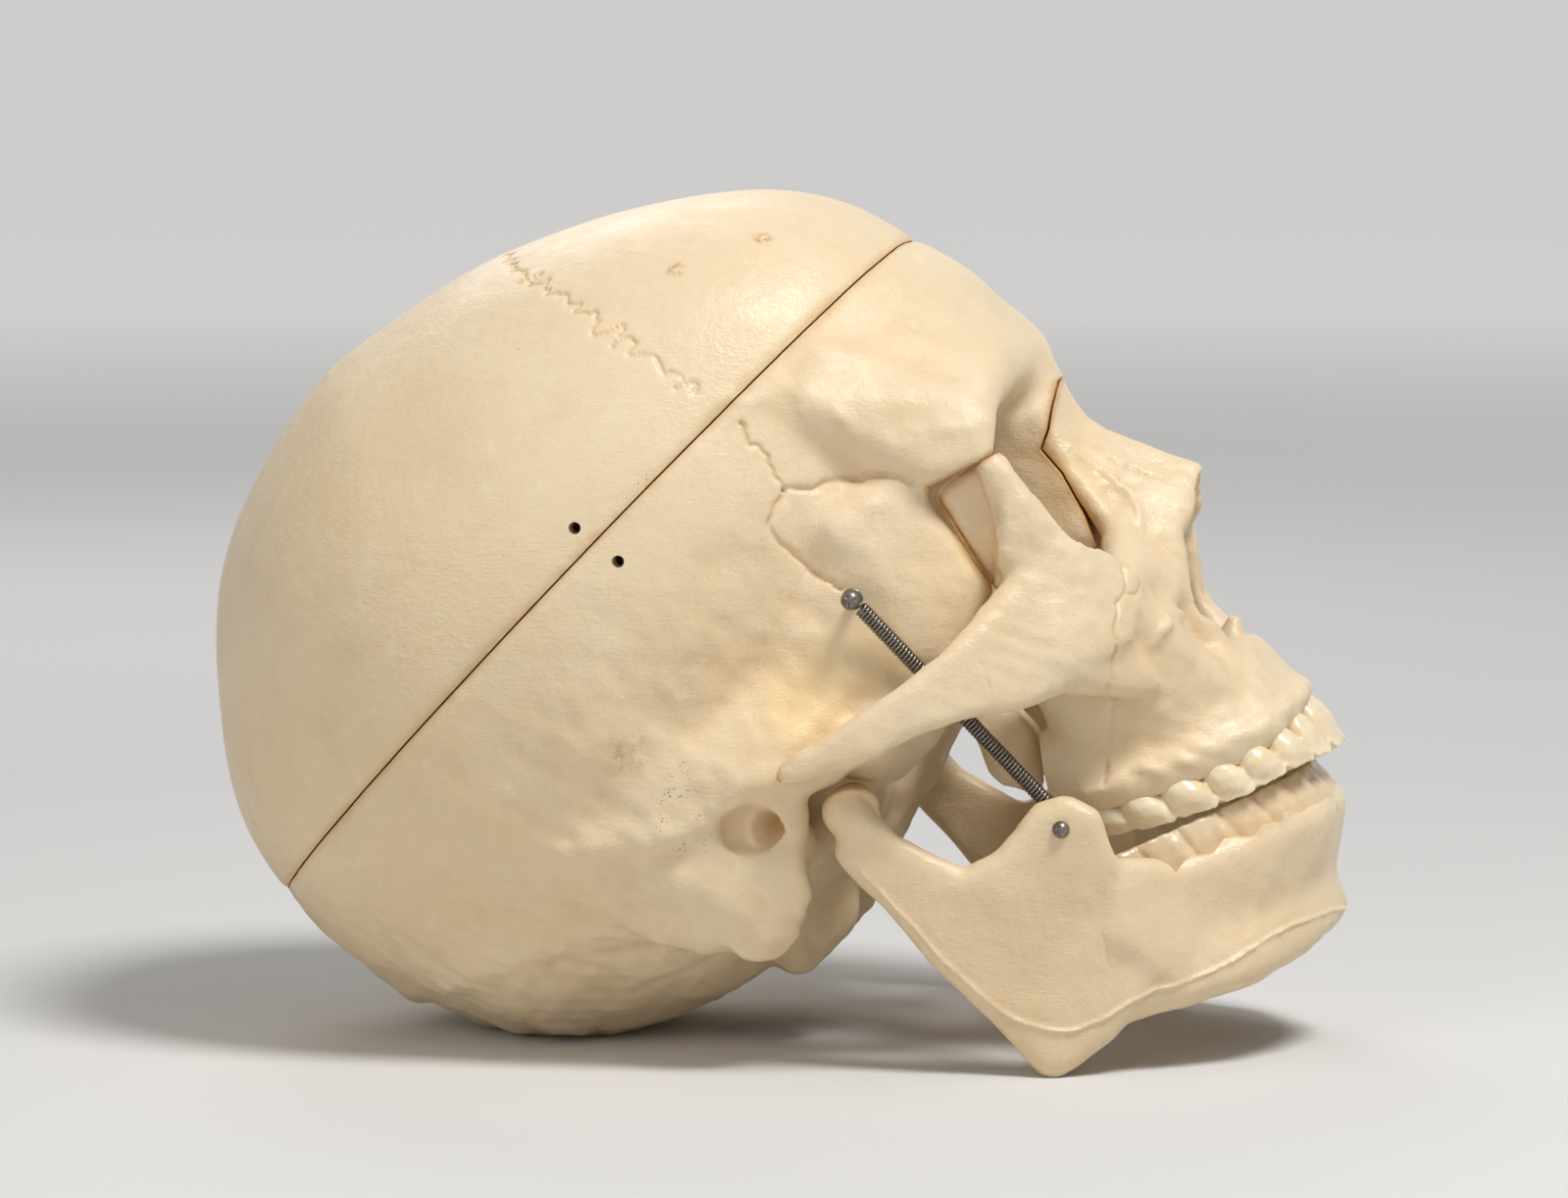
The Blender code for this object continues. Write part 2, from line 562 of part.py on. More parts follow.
def build_face():
    """Cheekbones, arches, nose and upper jaw as one moulding."""
    bm = bmesh.new()
    nose = (
        ((86.6, 0, 27.0, 1.9), (81.0, 7.0, 24.5, 2.8)),
        ((86.2, 0, 20.8, 1.9), (80.0, 9.5, 15.0, 3.0)),
        ((88.0, 0, 15.4, 1.9), (80.5, 11.5, 8.0, 3.2)),
        ((91.2, 0, 9.4, 1.9), (80.5, 13.0, 2.0, 3.4)),
        ((97.6, 0, -0.8, 1.9), (90.6, 8.4, -5.6, 2.2), (84.0, 12.6, -6.0, 3.0)),
    )
    for first, second in zip(nose, nose[1:]):
        add_middle(bm, *first, *second)
    add_chain(bm, ((80.5, 13.0, 2.0, 3.4),), ((84.2, 13.2, -7.0, 3.2),), ((82.4, 14.6, -14, 3.2),),
              ((80.0, 14.6, -22, 3.6),), ((79.0, 11.0, -29, 4.0),))
    add_both(bm, (80.5, 13.5, 0, 3.4), (81, 14.6, -14, 3.6), (77, 25, -7, 4.2), (75, 24, -16, 4.6))
    add_both(bm, (76, 22, -10, 5), (73, 36, -8, 5), (56, 34, -8, 4.5), (52, 27, -28, 5),
             (75.5, 20, -34, 5), (64, 25, -36, 5))
    add_middle(bm, (78, 0, -29.5, 3), (83.8, 0, -27.8, 1.1))
    add_middle(bm, (79, 0, -31, 3.2), (82.4, 0, -44.5, 4.6), (79, 13, -32, 4), (77, 17, -44, 5))
    arch_sections = []
    for x, out, gum, _, _, depth in UPPER_TEETH:
        root = (x - 2.2, out - 0.6, gum + 14, 4.4)
        arch_sections.append(((x - 0.6, out, gum + 3.2, depth / 2 + 1.2), root))
    add_chain(bm, *arch_sections)
    add_middle(bm, *arch_sections[0])
    add_middle(bm, (78, 4, -37.5, 2.6), (70, 16, -37, 2.6), (51, 20, -33, 2.6))
    add_both(bm, (74.2, 46.6, 24.0, 3.0), (73.4, 46.4, 16, 3.6), (71.4, 46.0, 11, 3.6))
    add_both(bm, (73.4, 46.4, 16, 3.6), (72.8, 43.2, 7, 4.0), (66.4, 46.8, 9.5, 3.6))
    add_both(bm, (72.8, 43.0, 5, 4.2), (75.2, 35.5, -3.8, 4.4), *CHEEK_REAR[:2],
             (70, 40, -13.6, 5), (76, 32, -10, 4.4))
    add_both(bm, *CHEEK_REAR[1:], (68, 39.5, -15.4, 4), (68, 34, -24, 4))
    add_both(bm, (71, 44.4, 24.5, 2.4), (64.0, 44.8, 25.0, 2.4), (61.4, 42.4, 6, 2.4),
             (70, 42.6, 6, 2.6))
    add_chain(bm, *ARCH)
    obj = fuse(bm, BONE_GRAIN - 0.3, 3, FACE_TRIANGLES)
    orbit_cutters(obj)
    cut(obj, hull_object((104, 0, -7, 6), (92, 0, -9, 6.4), (86, 2.4, -17, 9.2), (84, 1, -24, 7.2),
                         (60, 0, -8, 7), (60, 0, -26, 7), (40, 0, -8, 7), (36, 0, -24, 7)))
    keep_front(obj)
    return obj


def gum_block(teeth, above, spare):
    """A block whose top or bottom follows the gum line."""
    line = sorted((x, gum) for x, _, gum, _, _, _ in teeth)
    line = [(line[0][0] - 8, line[0][1] + 3.0)] + line + [(line[-1][0] + 12, line[-1][1])]
    line = [(x, z + spare) for x, z in line]
    far = 60.0 if above else -60.0
    return prism(line + [(line[-1][0], line[-1][1] + far), (line[0][0], line[0][1] + far)],
                 (-GUM_REACH, GUM_REACH))


def tooth_frames(teeth):
    """For every tooth on both sides: centre, direction along the row, and its sizes."""
    row = [(t[0], -t[1]) for t in reversed(teeth)] + [(t[0], t[1]) for t in teeth]
    sizes = list(reversed(teeth)) + list(teeth)
    frames = []
    for i, (x, y) in enumerate(row):
        before = Vector(row[max(i - 1, 0)])
        after = Vector(row[min(i + 1, len(row) - 1)])
        frames.append((Vector((x, y)), (after - before).normalized(), sizes[i]))
    return frames


def add_crown(bm, centre, along, size):
    """Add one crown: rings of eight points from the neck over the belly to the biting edge."""
    _, _, gum, bite, width, depth = size
    across = Vector((along.y, -along.x))
    up = 1 if gum > bite else -1
    rings = ((gum + up * 1.5, 0.80, 0.80), (gum - up * 1.2, 0.98, 0.96),
             (gum + (bite - gum) * 0.5, 1.04, 1.04), (bite + up * 0.8, 0.96, 0.86),
             (bite, 0.78, 0.60))
    verts = []
    for z, wide, deep in rings:
        for k in range(8):
            angle = (k + 0.5) * math.pi / 4
            u = math.copysign(abs(math.cos(angle)) ** 0.6, math.cos(angle)) * width * wide / 2
            v = math.copysign(abs(math.sin(angle)) ** 0.6, math.sin(angle)) * depth * deep / 2
            flat = centre + along * u + across * v
            verts.append(bm.verts.new((flat.x, flat.y, z)))
    bmesh.ops.convex_hull(bm, input=verts, use_existing_faces=False)


def tooth_rail(teeth, up, spare):
    """The rail on the strip that sits in the jaw's groove, grown by spare all round."""
    row = [(t[0], -t[1], t[2]) for t in reversed(teeth)] + [(t[0], t[1], t[2]) for t in teeth]
    half = RAIL_WIDTH / 2 + spare
    bm = bmesh.new()
    loops = []
    for i, (x, y, gum) in enumerate(row):
        before = Vector(row[max(i - 1, 0)]).xy
        after = Vector(row[min(i + 1, len(row) - 1)]).xy
        along = (after - before).normalized()
        across = Vector((along.y, -along.x))
        end = -spare if i == 0 else spare if i == len(row) - 1 else 0.0
        middle = Vector((x, y)) + along * end
        loop = []
        for wide, high in ((-half, -3.0), (half, -3.0), (half, RAIL_HEIGHT + spare),
                           (-half, RAIL_HEIGHT + spare)):
            flat = middle + across * wide
            loop.append(bm.verts.new((flat.x, flat.y, gum + up * high)))
        loops.append(loop)
    bm.faces.new(loops[0])
    bm.faces.new(list(reversed(loops[-1])))
    for first, second in zip(loops, loops[1:]):
        for k in range(4):
            j = (k + 1) % 4
            bm.faces.new((first[k], first[j], second[j], second[k]))
    return object_of(bm)


def build_teeth(teeth, up):
    """One strip of sixteen crowns with its rail."""
    bm = bmesh.new()
    for centre, along, size in tooth_frames(teeth):
        add_crown(bm, centre, along, size)
    obj = fuse(bm, TOOTH_GRAIN, 2, TEETH_TRIANGLES)
    cut(obj, gum_block(teeth, up > 0, -up * FIT / 2))
    cut(obj, tooth_rail(teeth, up, 0.0), "UNION")
    return obj


def build_jaw():
    """The lower jaw in its resting place."""
    bm = bmesh.new()
    t = 2.7
    branch = CONDYLE_OUTER - 8.0
    add_both(bm, (HINGE.x, CONDYLE_INNER + 1, HINGE.z - 0.4, CONDYLE_RADIUS),
             (HINGE.x, CONDYLE_OUTER - CONDYLE_RADIUS + 1, HINGE.z, CONDYLE_RADIUS))
    add_both(bm, (12.6, branch + 5, -10, 3.6), (12.6, branch - 3, -10, 3.6),
             (9.0, branch + 2.5, -17, t), (14.6, branch + 2.5, -17, t))
    add_both(bm, (8.2, branch + 3.5, -14, t), (14.6, branch + 3, -12.4, t),
             (14.9, branch + 2.5, -18, t), (8.9, branch + 2, -27, t))
    add_both(bm, (8.9, branch + 2, -27, t), (14.9, branch + 2.5, -18, t),
             (16.8, branch + 2, -25.5, t), (21.0, branch + 1, -32.4, t),
             (9.1, branch + 0.5, -40, t))
    add_both(bm, (21.0, branch + 1, -32.4, t), (29, branch + 0.2, -34.2, t),
             (9.1, branch + 0.5, -40, t), (10.4, branch - 1, -54, t), (34, branch - 1.4, -50, t))
    add_both(bm, (29, branch + 0.2, -34.2, t), (40.4, branch, -31.6, t), (44.6, branch, -33.4, t),
             (46.4, branch, -37.5, t), (43.2, branch - 1.5, -46, t), (34, branch - 1.4, -50, t))
    add_both(bm, (10.4, branch - 1, -54, t), (11.6, branch - 1.8, -63.4, t),
             (11.3, branch - 2.2, -69.3, 3.2), (16, branch - 2.8, -69.4, 3.1),
             (21, branch - 4, -68.6, 3.0), (34, branch - 1.4, -50, t),
             (42, branch - 4.5, -52, 3.0), (33, branch - 7.5, -66, 4.2))
    body = (
        ((29, 40.5, -68.2, 4.4), (35.0, 40.0, -60.6, 3.6), (42.0, 40.5, -53.0, 3.6)),
        ((40, 34.5, -73.4, 4.8), (44.6, 33.6, -66.0, 3.6), (50.0, 34.0, -57.0, 4.0)),
        ((50, 26.5, -77.6, 5.0), (53.4, 26.6, -70.0, 3.8), (58.6, 28.6, -60.0, 4.2)),
        ((57.5, 16.0, -79.2, 5.0), (60.4, 18.2, -72.6, 4.0), (67.0, 21.6, -63.0, 4.0)),
        ((62.0, 7.0, -79.4, 5.2), (65.0, 9.4, -73.6, 4.0), (72.2, 12.2, -65.4, 3.8)),
        ((62.8, 0.0, -79.6, 5.2), (66.0, 0.0, -74.0, 4.0), (73.6, 0.0, -65.4, 3.8)),
    )
    add_chain(bm, *[section[:2] for section in body])
    add_chain(bm, *[section[1:] for section in body])
    add_both(bm, (43.0, branch - 3.5, -48, 2.8), (42.0, 40.5, -53.0, 3.6), (36, branch - 4, -58, 4))
    obj = fuse(bm, BONE_GRAIN - 0.3, 3, JAW_TRIANGLES)
    cut(obj, gum_block(LOWER_TEETH, True, -FIT / 2))
    cut(obj, tooth_rail(LOWER_TEETH, -1, FIT))
    cut(obj, floor_cutter())
    return obj


def screw(head_seat, tip, side, spot):
    """A cross-head screw along y, with its head's underside at head_seat."""
    x, z = spot
    obj = rod((x, side * tip, z), (x, side * (head_seat + 0.6), z), SCREW_RADIUS, 10)
    head = bmesh.new()
    bmesh.ops.create_uvsphere(head, u_segments=12, v_segments=6, radius=HEAD_RADIUS)
    bmesh.ops.bisect_plane(head, geom=head.verts[:] + head.edges[:] + head.faces[:],
                           plane_co=(0, 0, 0), plane_no=(0, 0, 1), clear_inner=True)
    bmesh.ops.holes_fill(head, edges=[e for e in head.edges if e.is_boundary], sides=0)
    turn = Vector((0, side, 0)).to_track_quat("Z", "X").to_matrix().to_4x4()
    head.transform(Matrix.Translation((x, side * head_seat, z)) @ turn
                   @ Matrix.Diagonal((1, 1, HEAD_HEIGHT / HEAD_RADIUS, 1)))
    cut(obj, object_of(head), "UNION")
    top = side * (head_seat + HEAD_HEIGHT)
    for half_x, half_z in ((HEAD_RADIUS * 0.6, CROSS_WIDTH / 2), (CROSS_WIDTH / 2, HEAD_RADIUS * 0.6)):
        cut(obj, box((x - half_x, x + half_x), sorted((top - side * CROSS_DEPTH, top + side)),
                     (z - half_z, z + half_z)))
    return obj


def drill(obj, spot, side, inner, outer, radius):
    """Drill a hole along y."""
    x, z = spot
    cut(obj, rod((x, side * inner, z), (x, side * outer, z), radius, 14))


def spring_path(side):
    """Centre line of one spring's wire from the temple screw to the coronoid screw."""
    top = Vector((TEMPLE[0], side * SPRING_TOP_OUT, TEMPLE[1]))
    low = Vector((CORONOID[0], side * SPRING_LOW_OUT, CORONOID[1]))
    axis = (low - top).normalized()
    u = axis.cross(Vector((0, side, 0))).normalized()
    v = axis.cross(u)
    length = (low - top).length - SPRING_TOP_TAIL - SPRING_LOW_TAIL
    radius = SPRING_RADIUS - WIRE_RADIUS
    square = Vector((axis.x, 0, axis.z)).normalized()
    reach = SCREW_RADIUS + FIT
    points = [top + square * reach, top + square * (reach + 2 * WIRE_RADIUS)]
    steps = SPRING_TURNS * POINTS_PER_TURN
    for i in range(steps + 1):
        angle = 2 * math.pi * i / POINTS_PER_TURN
        centre = top + axis * (SPRING_TOP_TAIL + length * i / steps)
        points.append(centre + (u * math.cos(angle) + v * math.sin(angle)) * radius)
    points += [low - square * (reach + 2 * WIRE_RADIUS), low - square * reach]
    return points


def least_self_gap(points):
    """The smallest clear distance between neighbouring turns of a wire."""
    array = np.array([tuple(p) for p in points])
    skip = POINTS_PER_TURN - 2
    least = 1e9
    for i in range(len(array) - skip):
        distance = np.linalg.norm(array[i + skip:] - array[i], axis=1).min()
        least = min(least, distance)
    return least - 2 * WIRE_RADIUS


def build_spring(name, side):
    """A spring as one wound tube."""
    points = spring_path(side)
    print(name, "least gap between turns, mm:", round(least_self_gap(points), 3))
    curve = bpy.data.curves.new(name, "CURVE")
    curve.dimensions = "3D"
    curve.bevel_depth = WIRE_RADIUS * MM
    curve.bevel_resolution = 1
    curve.render_resolution_u = 0
    curve.use_fill_caps = True
    spline = curve.splines.new("POLY")
    spline.points.add(len(points) - 1)
    for target, point in zip(spline.points, points):
        target.co = (*(point * MM), 1.0)
    obj = bpy.data.objects.new(name, curve)
    bpy.context.scene.collection.objects.link(obj)
    return obj


def material(name, colour, metallic, roughness):
    """A Principled material."""
    result = bpy.data.materials.new(name)
    result.use_nodes = True
    shader = result.node_tree.nodes["Principled BSDF"]
    shader.inputs["Base Color"].default_value = (*colour, 1.0)
    shader.inputs["Metallic"].default_value = metallic
    shader.inputs["Roughness"].default_value = roughness
    return result


def finish(obj, name, parent, pivot, look):
    """Name a piece, scale it to metres, set its origin on pivot and parent it."""
    obj.name = name
    obj.data.name = name
    if obj.type == "MESH":
        obj.data.transform(Matrix.Diagonal((MM, MM, MM, 1)) @ Matrix.Translation(-pivot))
        obj.data.materials.clear()
        obj.data.shade_smooth()
        obj.data.set_sharp_from_angle(angle=math.radians(35))
    obj.location = pivot * MM
    obj.parent = parent
    obj.data.materials.append(look)
    return obj


def leaning_empty():
    """The empty that carries the skull's frame."""
    empty = bpy.data.objects.new("skull_frame", None)
    bpy.context.scene.collection.objects.link(empty)
    empty.location = (STAND_X * MM, 0, STAND_Z * MM)
    empty.rotation_euler = (0, -LEAN, 0)
    return empty


def main():
    """Build every piece."""
    clear_scene()
    frame = leaning_empty()
    ivory = (0.80, 0.66, 0.46)
    steel = (0.45, 0.44, 0.42)
    cranium = build_cranium()
    cap = copy_of(cranium)
    cut(cap, half_space(False))
    base = cranium
    cut(base, half_space(True))
    face = build_face()
    cut(face, gum_block(UPPER_TEETH, False, FIT / 2))
    cut(face, tooth_rail(UPPER_TEETH, 1, FIT))
    jaw = build_jaw()
    origin = Vector((0, 0, 0))
    for side, word in ((RIGHT, "right"), (LEFT, "left")):
        low, high = peg_ends(side, FIT)
        for piece in (cap, base):
            cut(piece, rod(low, high, PEG_RADIUS + FIT, 12))
        drill(cap, LATCH_HOLE_CAP, side, DRILL_IN, DRILL_OUT, LATCH_HOLE_RADIUS)
        drill(base, LATCH_HOLE_BASE, side, DRILL_IN, DRILL_OUT, LATCH_HOLE_RADIUS)
        drill(base, TEMPLE, side, TEMPLE_BONE - SCREW_DEPTH - FIT, DRILL_OUT, SCREW_RADIUS + FIT)
        drill(base, TEMPLE, side, TEMPLE_BONE, DRILL_OUT, HEAD_RADIUS + 0.8)
        drill(jaw, CORONOID, side, CORONOID_TIP - 4.0, DRILL_OUT, SCREW_RADIUS + FIT)
        drill(jaw, CORONOID, side, CORONOID_BONE, DRILL_OUT, HEAD_RADIUS + 0.5)
        low, high = peg_ends(side, 0.0)
        finish(rod(low, high, PEG_RADIUS, 12), "cap_peg_" + word, frame, origin,
               material("peg_" + word, (0.10, 0.10, 0.09), 0.0, 0.5))
        finish(screw(TEMPLE_HEAD_REST, TEMPLE_BONE - SCREW_DEPTH, side, TEMPLE),
               "temple_screw_" + word, frame, origin, material("temple_" + word, steel, 1.0, 0.3))
        pin = screw(CORONOID_BONE + FIT, CORONOID_TIP, side, CORONOID)
        finish(pin, "coronoid_screw_" + word, frame, HINGE,
               material("coronoid_" + word, steel, 1.0, 0.3))
        finish(build_spring("jaw_spring_" + word, side), "jaw_spring_" + word, frame, origin,
               material("spring_" + word, steel, 1.0, 0.35))
    finish(cap, "skull_cap", frame, origin, material("cap", ivory, 0.0, 0.4))
    finish(base, "cranial_base", frame, origin, material("base", ivory, 0.0, 0.45))
    finish(face, "face_block", frame, origin, material("face", ivory, 0.0, 0.42))
    finish(build_teeth(UPPER_TEETH, 1), "upper_teeth", frame, origin,
           material("upper_teeth", (0.84, 0.70, 0.50), 0.0, 0.3))
    finish(jaw, "mandible", frame, HINGE, material("jaw", ivory, 0.0, 0.4))
    finish(build_teeth(LOWER_TEETH, -1), "lower_teeth", frame, HINGE,
           material("lower_teeth", (0.74, 0.60, 0.44), 0.0, 0.3))


main()
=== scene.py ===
"""Life-size teaching skull with a lift-off cap and a sprung jaw, dressed over its fixed frame.

The bone is drawn in the skull's own frame, in millimetres: x forward, y to its left and z up, with the
origin between the ear canals. A ball is (x, out, z, radius), where out is the distance from the middle
plane, so one list serves both sides. Each finished piece is then leaned back and brought to metres.
"""

import math

import bmesh
import bpy
import numpy as np
from mathutils import Matrix, Vector
from mathutils.bvhtree import BVHTree


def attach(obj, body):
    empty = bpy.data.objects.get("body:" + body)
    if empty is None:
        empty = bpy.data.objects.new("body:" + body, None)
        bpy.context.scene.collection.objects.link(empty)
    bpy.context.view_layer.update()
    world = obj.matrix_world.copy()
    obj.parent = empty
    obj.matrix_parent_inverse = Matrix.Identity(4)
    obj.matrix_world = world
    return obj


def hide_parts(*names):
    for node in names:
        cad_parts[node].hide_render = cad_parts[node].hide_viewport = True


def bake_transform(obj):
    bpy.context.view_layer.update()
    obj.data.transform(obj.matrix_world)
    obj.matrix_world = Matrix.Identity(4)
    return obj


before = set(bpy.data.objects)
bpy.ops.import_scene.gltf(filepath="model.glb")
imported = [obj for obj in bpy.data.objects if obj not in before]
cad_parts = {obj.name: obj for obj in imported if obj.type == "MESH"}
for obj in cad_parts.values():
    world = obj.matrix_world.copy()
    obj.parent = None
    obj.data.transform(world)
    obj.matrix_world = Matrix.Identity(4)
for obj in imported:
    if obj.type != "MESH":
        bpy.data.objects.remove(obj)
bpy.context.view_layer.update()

bl_info = {
    "name": "Teaching Skull",
    "version": (1, 0, 0),
    "blender": (4, 5, 0),
    "location": "3D View > Sidebar > Skull",
    "description": "Builds a plastic teaching skull with a sawn cap, a sprung jaw and its studio",
    "category": "Object",
}

# Frame of the skull
MM = 0.001
LEAN = math.radians(40.0)
STAND_X = 4.48
STAND_Z = 47.31
RIGHT = -1
LEFT = 1
JOINT_GAP = 0.45
SAW_GAP = 0.35
WALL = 5.0

# Braincase
BRAIN_CENTRE = Vector((-6.0, 0.0, 50.0))
SQUARENESS = 2.25
WIDEST = 67.5
MIDLINE = (
    (86.4, 36.0), (88.8, 47.0), (88.0, 56.8), (83.6, 68.1), (77.8, 82.1), (66.4, 94.5),
    (45.0, 107.2), (18.0, 116.9), (-5.0, 119.8), (-22.0, 119.8), (-45.0, 112.6),
    (-61.6, 102.0), (-75.2, 86.4), (-86.6, 66.5), (-89.8, 47.5), (-87.2, 25.9),
    (-82.2, 13.8), (-69.2, -5.4), (-50.0, -17.5), (-30.0, -22.5), (-4.0, -20.0),
    (22.0, -8.0), (46.0, 4.0), (68.0, 20.0),
)
BRAIN_FLOOR = (
    (84.0, 48.0), (60.0, 41.0), (44.0, 24.0), (30.0, 6.0), (8.0, -4.0), (-20.0, -14.0),
)
EXTRA_BREADTH = ((0, -6.5), (45, -1.5), (90, 0.5), (135, 1.5), (180, -0.5), (225, -3.5),
                 (270, -6.5), (315, -9.5))
TEMPLE_PINCH = 0.06
SAW_FRONT = (84.5, 68.1)
SAW_BACK = (-92.1, 47.5)
LATCH_HOLE_RADIUS = 1.15
LATCH_HOLES_CAP = (9.9, 63.8)
LATCH_HOLES_BASE = (12.2, 54.0)

# Open joints between the base and the face, as (x, z) in the middle and at the sides
MEDIAL_SEAM = ((110.0, 29.5), (88.5, 29.0), (82.0, 23.0), (78.6, 21.0), (79.0, 15.0),
               (77.5, 6.0), (75.0, -1.5), (54.0, -3.0), (48.6, -16.0), (39.0, -32.0),
               (37.0, -70.0))
LATERAL_SEAM = ((110.0, 22.0), (77.1, 25.3), (62.6, 28.4), (60.0, 12.7), (59.4, 4.0),
                (54.0, -3.0), (48.6, -16.0), (39.0, -32.0), (37.0, -70.0))
SEAM_STEP = 30.0
ARCH = (
    ((61.5, 48.6, 2.6, 3.6), (59.6, 48.0, -13.6, 3.4)),
    ((54.0, 54.0, 2.0, 2.8), (51.6, 52.0, -12.0, 2.8)),
    ((46.0, 58.0, 1.2, 2.5), (44.0, 57.0, -7.4, 2.5)),
    ((38.0, 60.8, 1.4, 2.4), (36.4, 60.4, -4.2, 2.3)),
    ((29.0, 62.4, 2.2, 2.3), (27.5, 62.4, -2.2, 2.3)),
    ((20.5, 63.6, 3.4, 2.3), (19.2, 63.6, 0.4, 2.3)),
    ((11.6, 64.0, 4.6, 2.3), (11.0, 64.0, 4.0, 2.3)),
)
ARCH_INNER = 46.6
ARCH_TOP = 14.0
ARCH_ROOM = 0.3
CHEEK_REAR = ((62.0, 48.0, 2.4, 3.8), (60.0, 48.6, -12.0, 3.8), (60.6, 45.0, -15.6, 3.2))

# Jaw, screws and springs
HINGE = Vector((13.2, 0.0, -8.2))
CONDYLE_RADIUS = 4.6
CONDYLE_INNER = 43.0
CONDYLE_OUTER = 57.0
TEMPLE = (40.0, 21.4)
CORONOID = (41.7, -35.7)
TEMPLE_BONE = 55.6
TEMPLE_HEAD_REST = 59.6
CORONOID_BONE = 51.2
SPRING_TOP_OUT = 57.6
SPRING_LOW_OUT = 42.0
HEAD_RADIUS = 1.85
PIN_RADIUS = 1.6
HEAD_HEIGHT = 1.7
EYE_RADIUS = 1.75
TURN_POINTS = 18

# Screws and springs in detail
SHANK_RADIUS = 1.0
SCREW_HOLE_RADIUS = 1.2
SLOT_LENGTH = 0.64
SLOT_HALF_WIDTH = 0.34
SLOT_DEPTH = 1.0
SLOT_TURN = math.radians(28)
EYE_POINTS = 15
EYE_ARC = 300
COIL_TOP_GAP = 2.4
COIL_LOW_GAP = 2.6
PEG_BEVEL = 0.0003

# Camera, in metres and degrees
CAMERA_TARGET = Vector((0.00041, 0.0, 0.08369))
CAMERA_AZIMUTH = 8.2
CAMERA_ELEVATION = 5.5
CAMERA_DISTANCE = 1.3
CAMERA_LENS = 155.1
SENSOR_WIDTH = 36.0

# Places that several pieces share
EAR_OUT = WIDEST - 13.5
ARCH_ROOT_OUT = WIDEST - 9.0
BRANCH_OUT = CONDYLE_OUTER - 8.0
FORAMEN_PLACE = (-24, 0, -20)
FORAMEN_HALVES = (17, 14.5)
TEETH_ROOM = (-38.5, 38.5)
CUT_REACH = 60.0
GUM_OVERLAP = 1.0
LIP_POINTS = 70
LIP_SWING = 0.6
LIP_RISE = 0.3
LIP_CALM_FROM = 75.5
LIP_FADE = 4

# Wear along the saw cut, and painted shade along the saw cut and in the open joints
SAW_LIP_POINTS = 900
SAW_WEAR_WIDTH = 1.1
SAW_PAINTED_SHADE = 0.75
SAW_PAINTED_SHADE_WIDTH = 0.85
JOINT_PAINTED_SHADE_WIDTH = 0.80
JOINT_PAINTED_SHADE_REACH = 1.4

# Detail of lines, lumps and the thin skin on the teeth
LINE_STEP = 0.3
MANY_POINTS = 10000
WAVES = 14
FLASH = 0.28

# Teeth, from the middle to the back: x, out, gum z, biting z, width and depth
UPPER_TEETH = (
    (84.3, 4.2, -48.6, -58.2, 8.2, 6.0),
    (82.2, 11.6, -48.9, -57.4, 7.0, 5.6),
    (78.6, 17.8, -49.0, -55.8, 7.2, 7.0),
    (73.4, 22.2, -47.8, -54.4, 7.2, 8.0),
    (67.2, 25.0, -45.8, -52.8, 7.2, 8.2),
    (60.2, 26.8, -43.2, -50.2, 8.2, 9.2),
    (52.8, 27.6, -40.2, -47.0, 8.0, 9.2),
    (46.6, 27.4, -37.6, -43.9, 6.8, 8.4),
)
LOWER_TEETH = (
    (77.4, 2.8, -64.0, -57.0, 5.8, 4.6),
    (76.6, 8.4, -64.0, -56.8, 5.8, 4.8),
    (74.2, 13.8, -63.6, -56.2, 6.6, 5.8),
    (70.4, 18.6, -62.4, -55.0, 7.2, 6.8),
    (64.8, 22.6, -60.4, -53.2, 7.2, 7.2),
    (57.8, 26.0, -58.0, -51.1, 8.4, 8.2),
    (50.0, 29.2, -55.2, -48.7, 8.4, 8.2),
    (43.2, 32.0, -52.2, -46.6, 7.2, 7.6),
)

# Lines on the bone, as (x, out, z)
CORONAL_SUTURE = ((22.0, 8.0, 114.0), (24.5, 22.0, 111.0), (26.7, 31.6, 107.7), (31.2, 40.6, 100.3),
                  (34.2, 47.6, 91.9), (37.1, 51.4, 84.4), (38.8, 53.4, 78.8), (40.6, 54.8, 73.5),
                  (41.1, 55.4, 69.7))
CORONAL_LOW = ((44.3, 54.6, 59.5), (43.6, 54.9, 55.8), (43.9, 54.4, 52.0), (42.6, 53.8, 44.9))
PTERION = ((42.6, 53.8, 44.9), (45.9, 51.3, 42.3), (49.7, 48.5, 40.3), (54.4, 47.7, 37.9),
           (58.2, 46.5, 35.3), (62.0, 46.0, 31.5))
SPHENOID_REAR = ((42.6, 53.8, 44.9), (38.8, 55.0, 42.9), (35.8, 55.3, 40.1), (36.1, 52.5, 34.1),
                 (36.9, 49.5, 29.1), (38.5, 47.1, 24.1))
TEMPLE_LINE = ((44.8, 54.3, 63.0), (53.7, 50.3, 58.9), (58.5, 51.0, 50.3), (61.8, 49.4, 40.4),
               (71.3, 48.9, 34.8), (76.8, 45.1, 31.6))
EAR_RIDGE = ((9.5, 62.0, 5.4), (4.4, 61.0, 7.2), (-1.0, 60.0, 8.0), (-7.0, 59.5, 7.4),
             (-14.0, 58.0, 10.0), (-22.0, 56.0, 15.0), (-31.0, 54.0, 20.0))
MASTOID_EDGE = ((0.0, 55.0, -9.0), (-4.0, 54.0, -14.5), (-8.4, 52.0, -19.0), (-14.5, 50.5, -20.8))
NECK_LINE = ((-30.0, 46.0, 1.0), (-41.0, 43.0, 9.5), (-52.0, 38.0, 15.0), (-64.0, 28.0, 20.0),
             (-73.0, 14.0, 23.0), (-77.0, 0.0, 23.0))
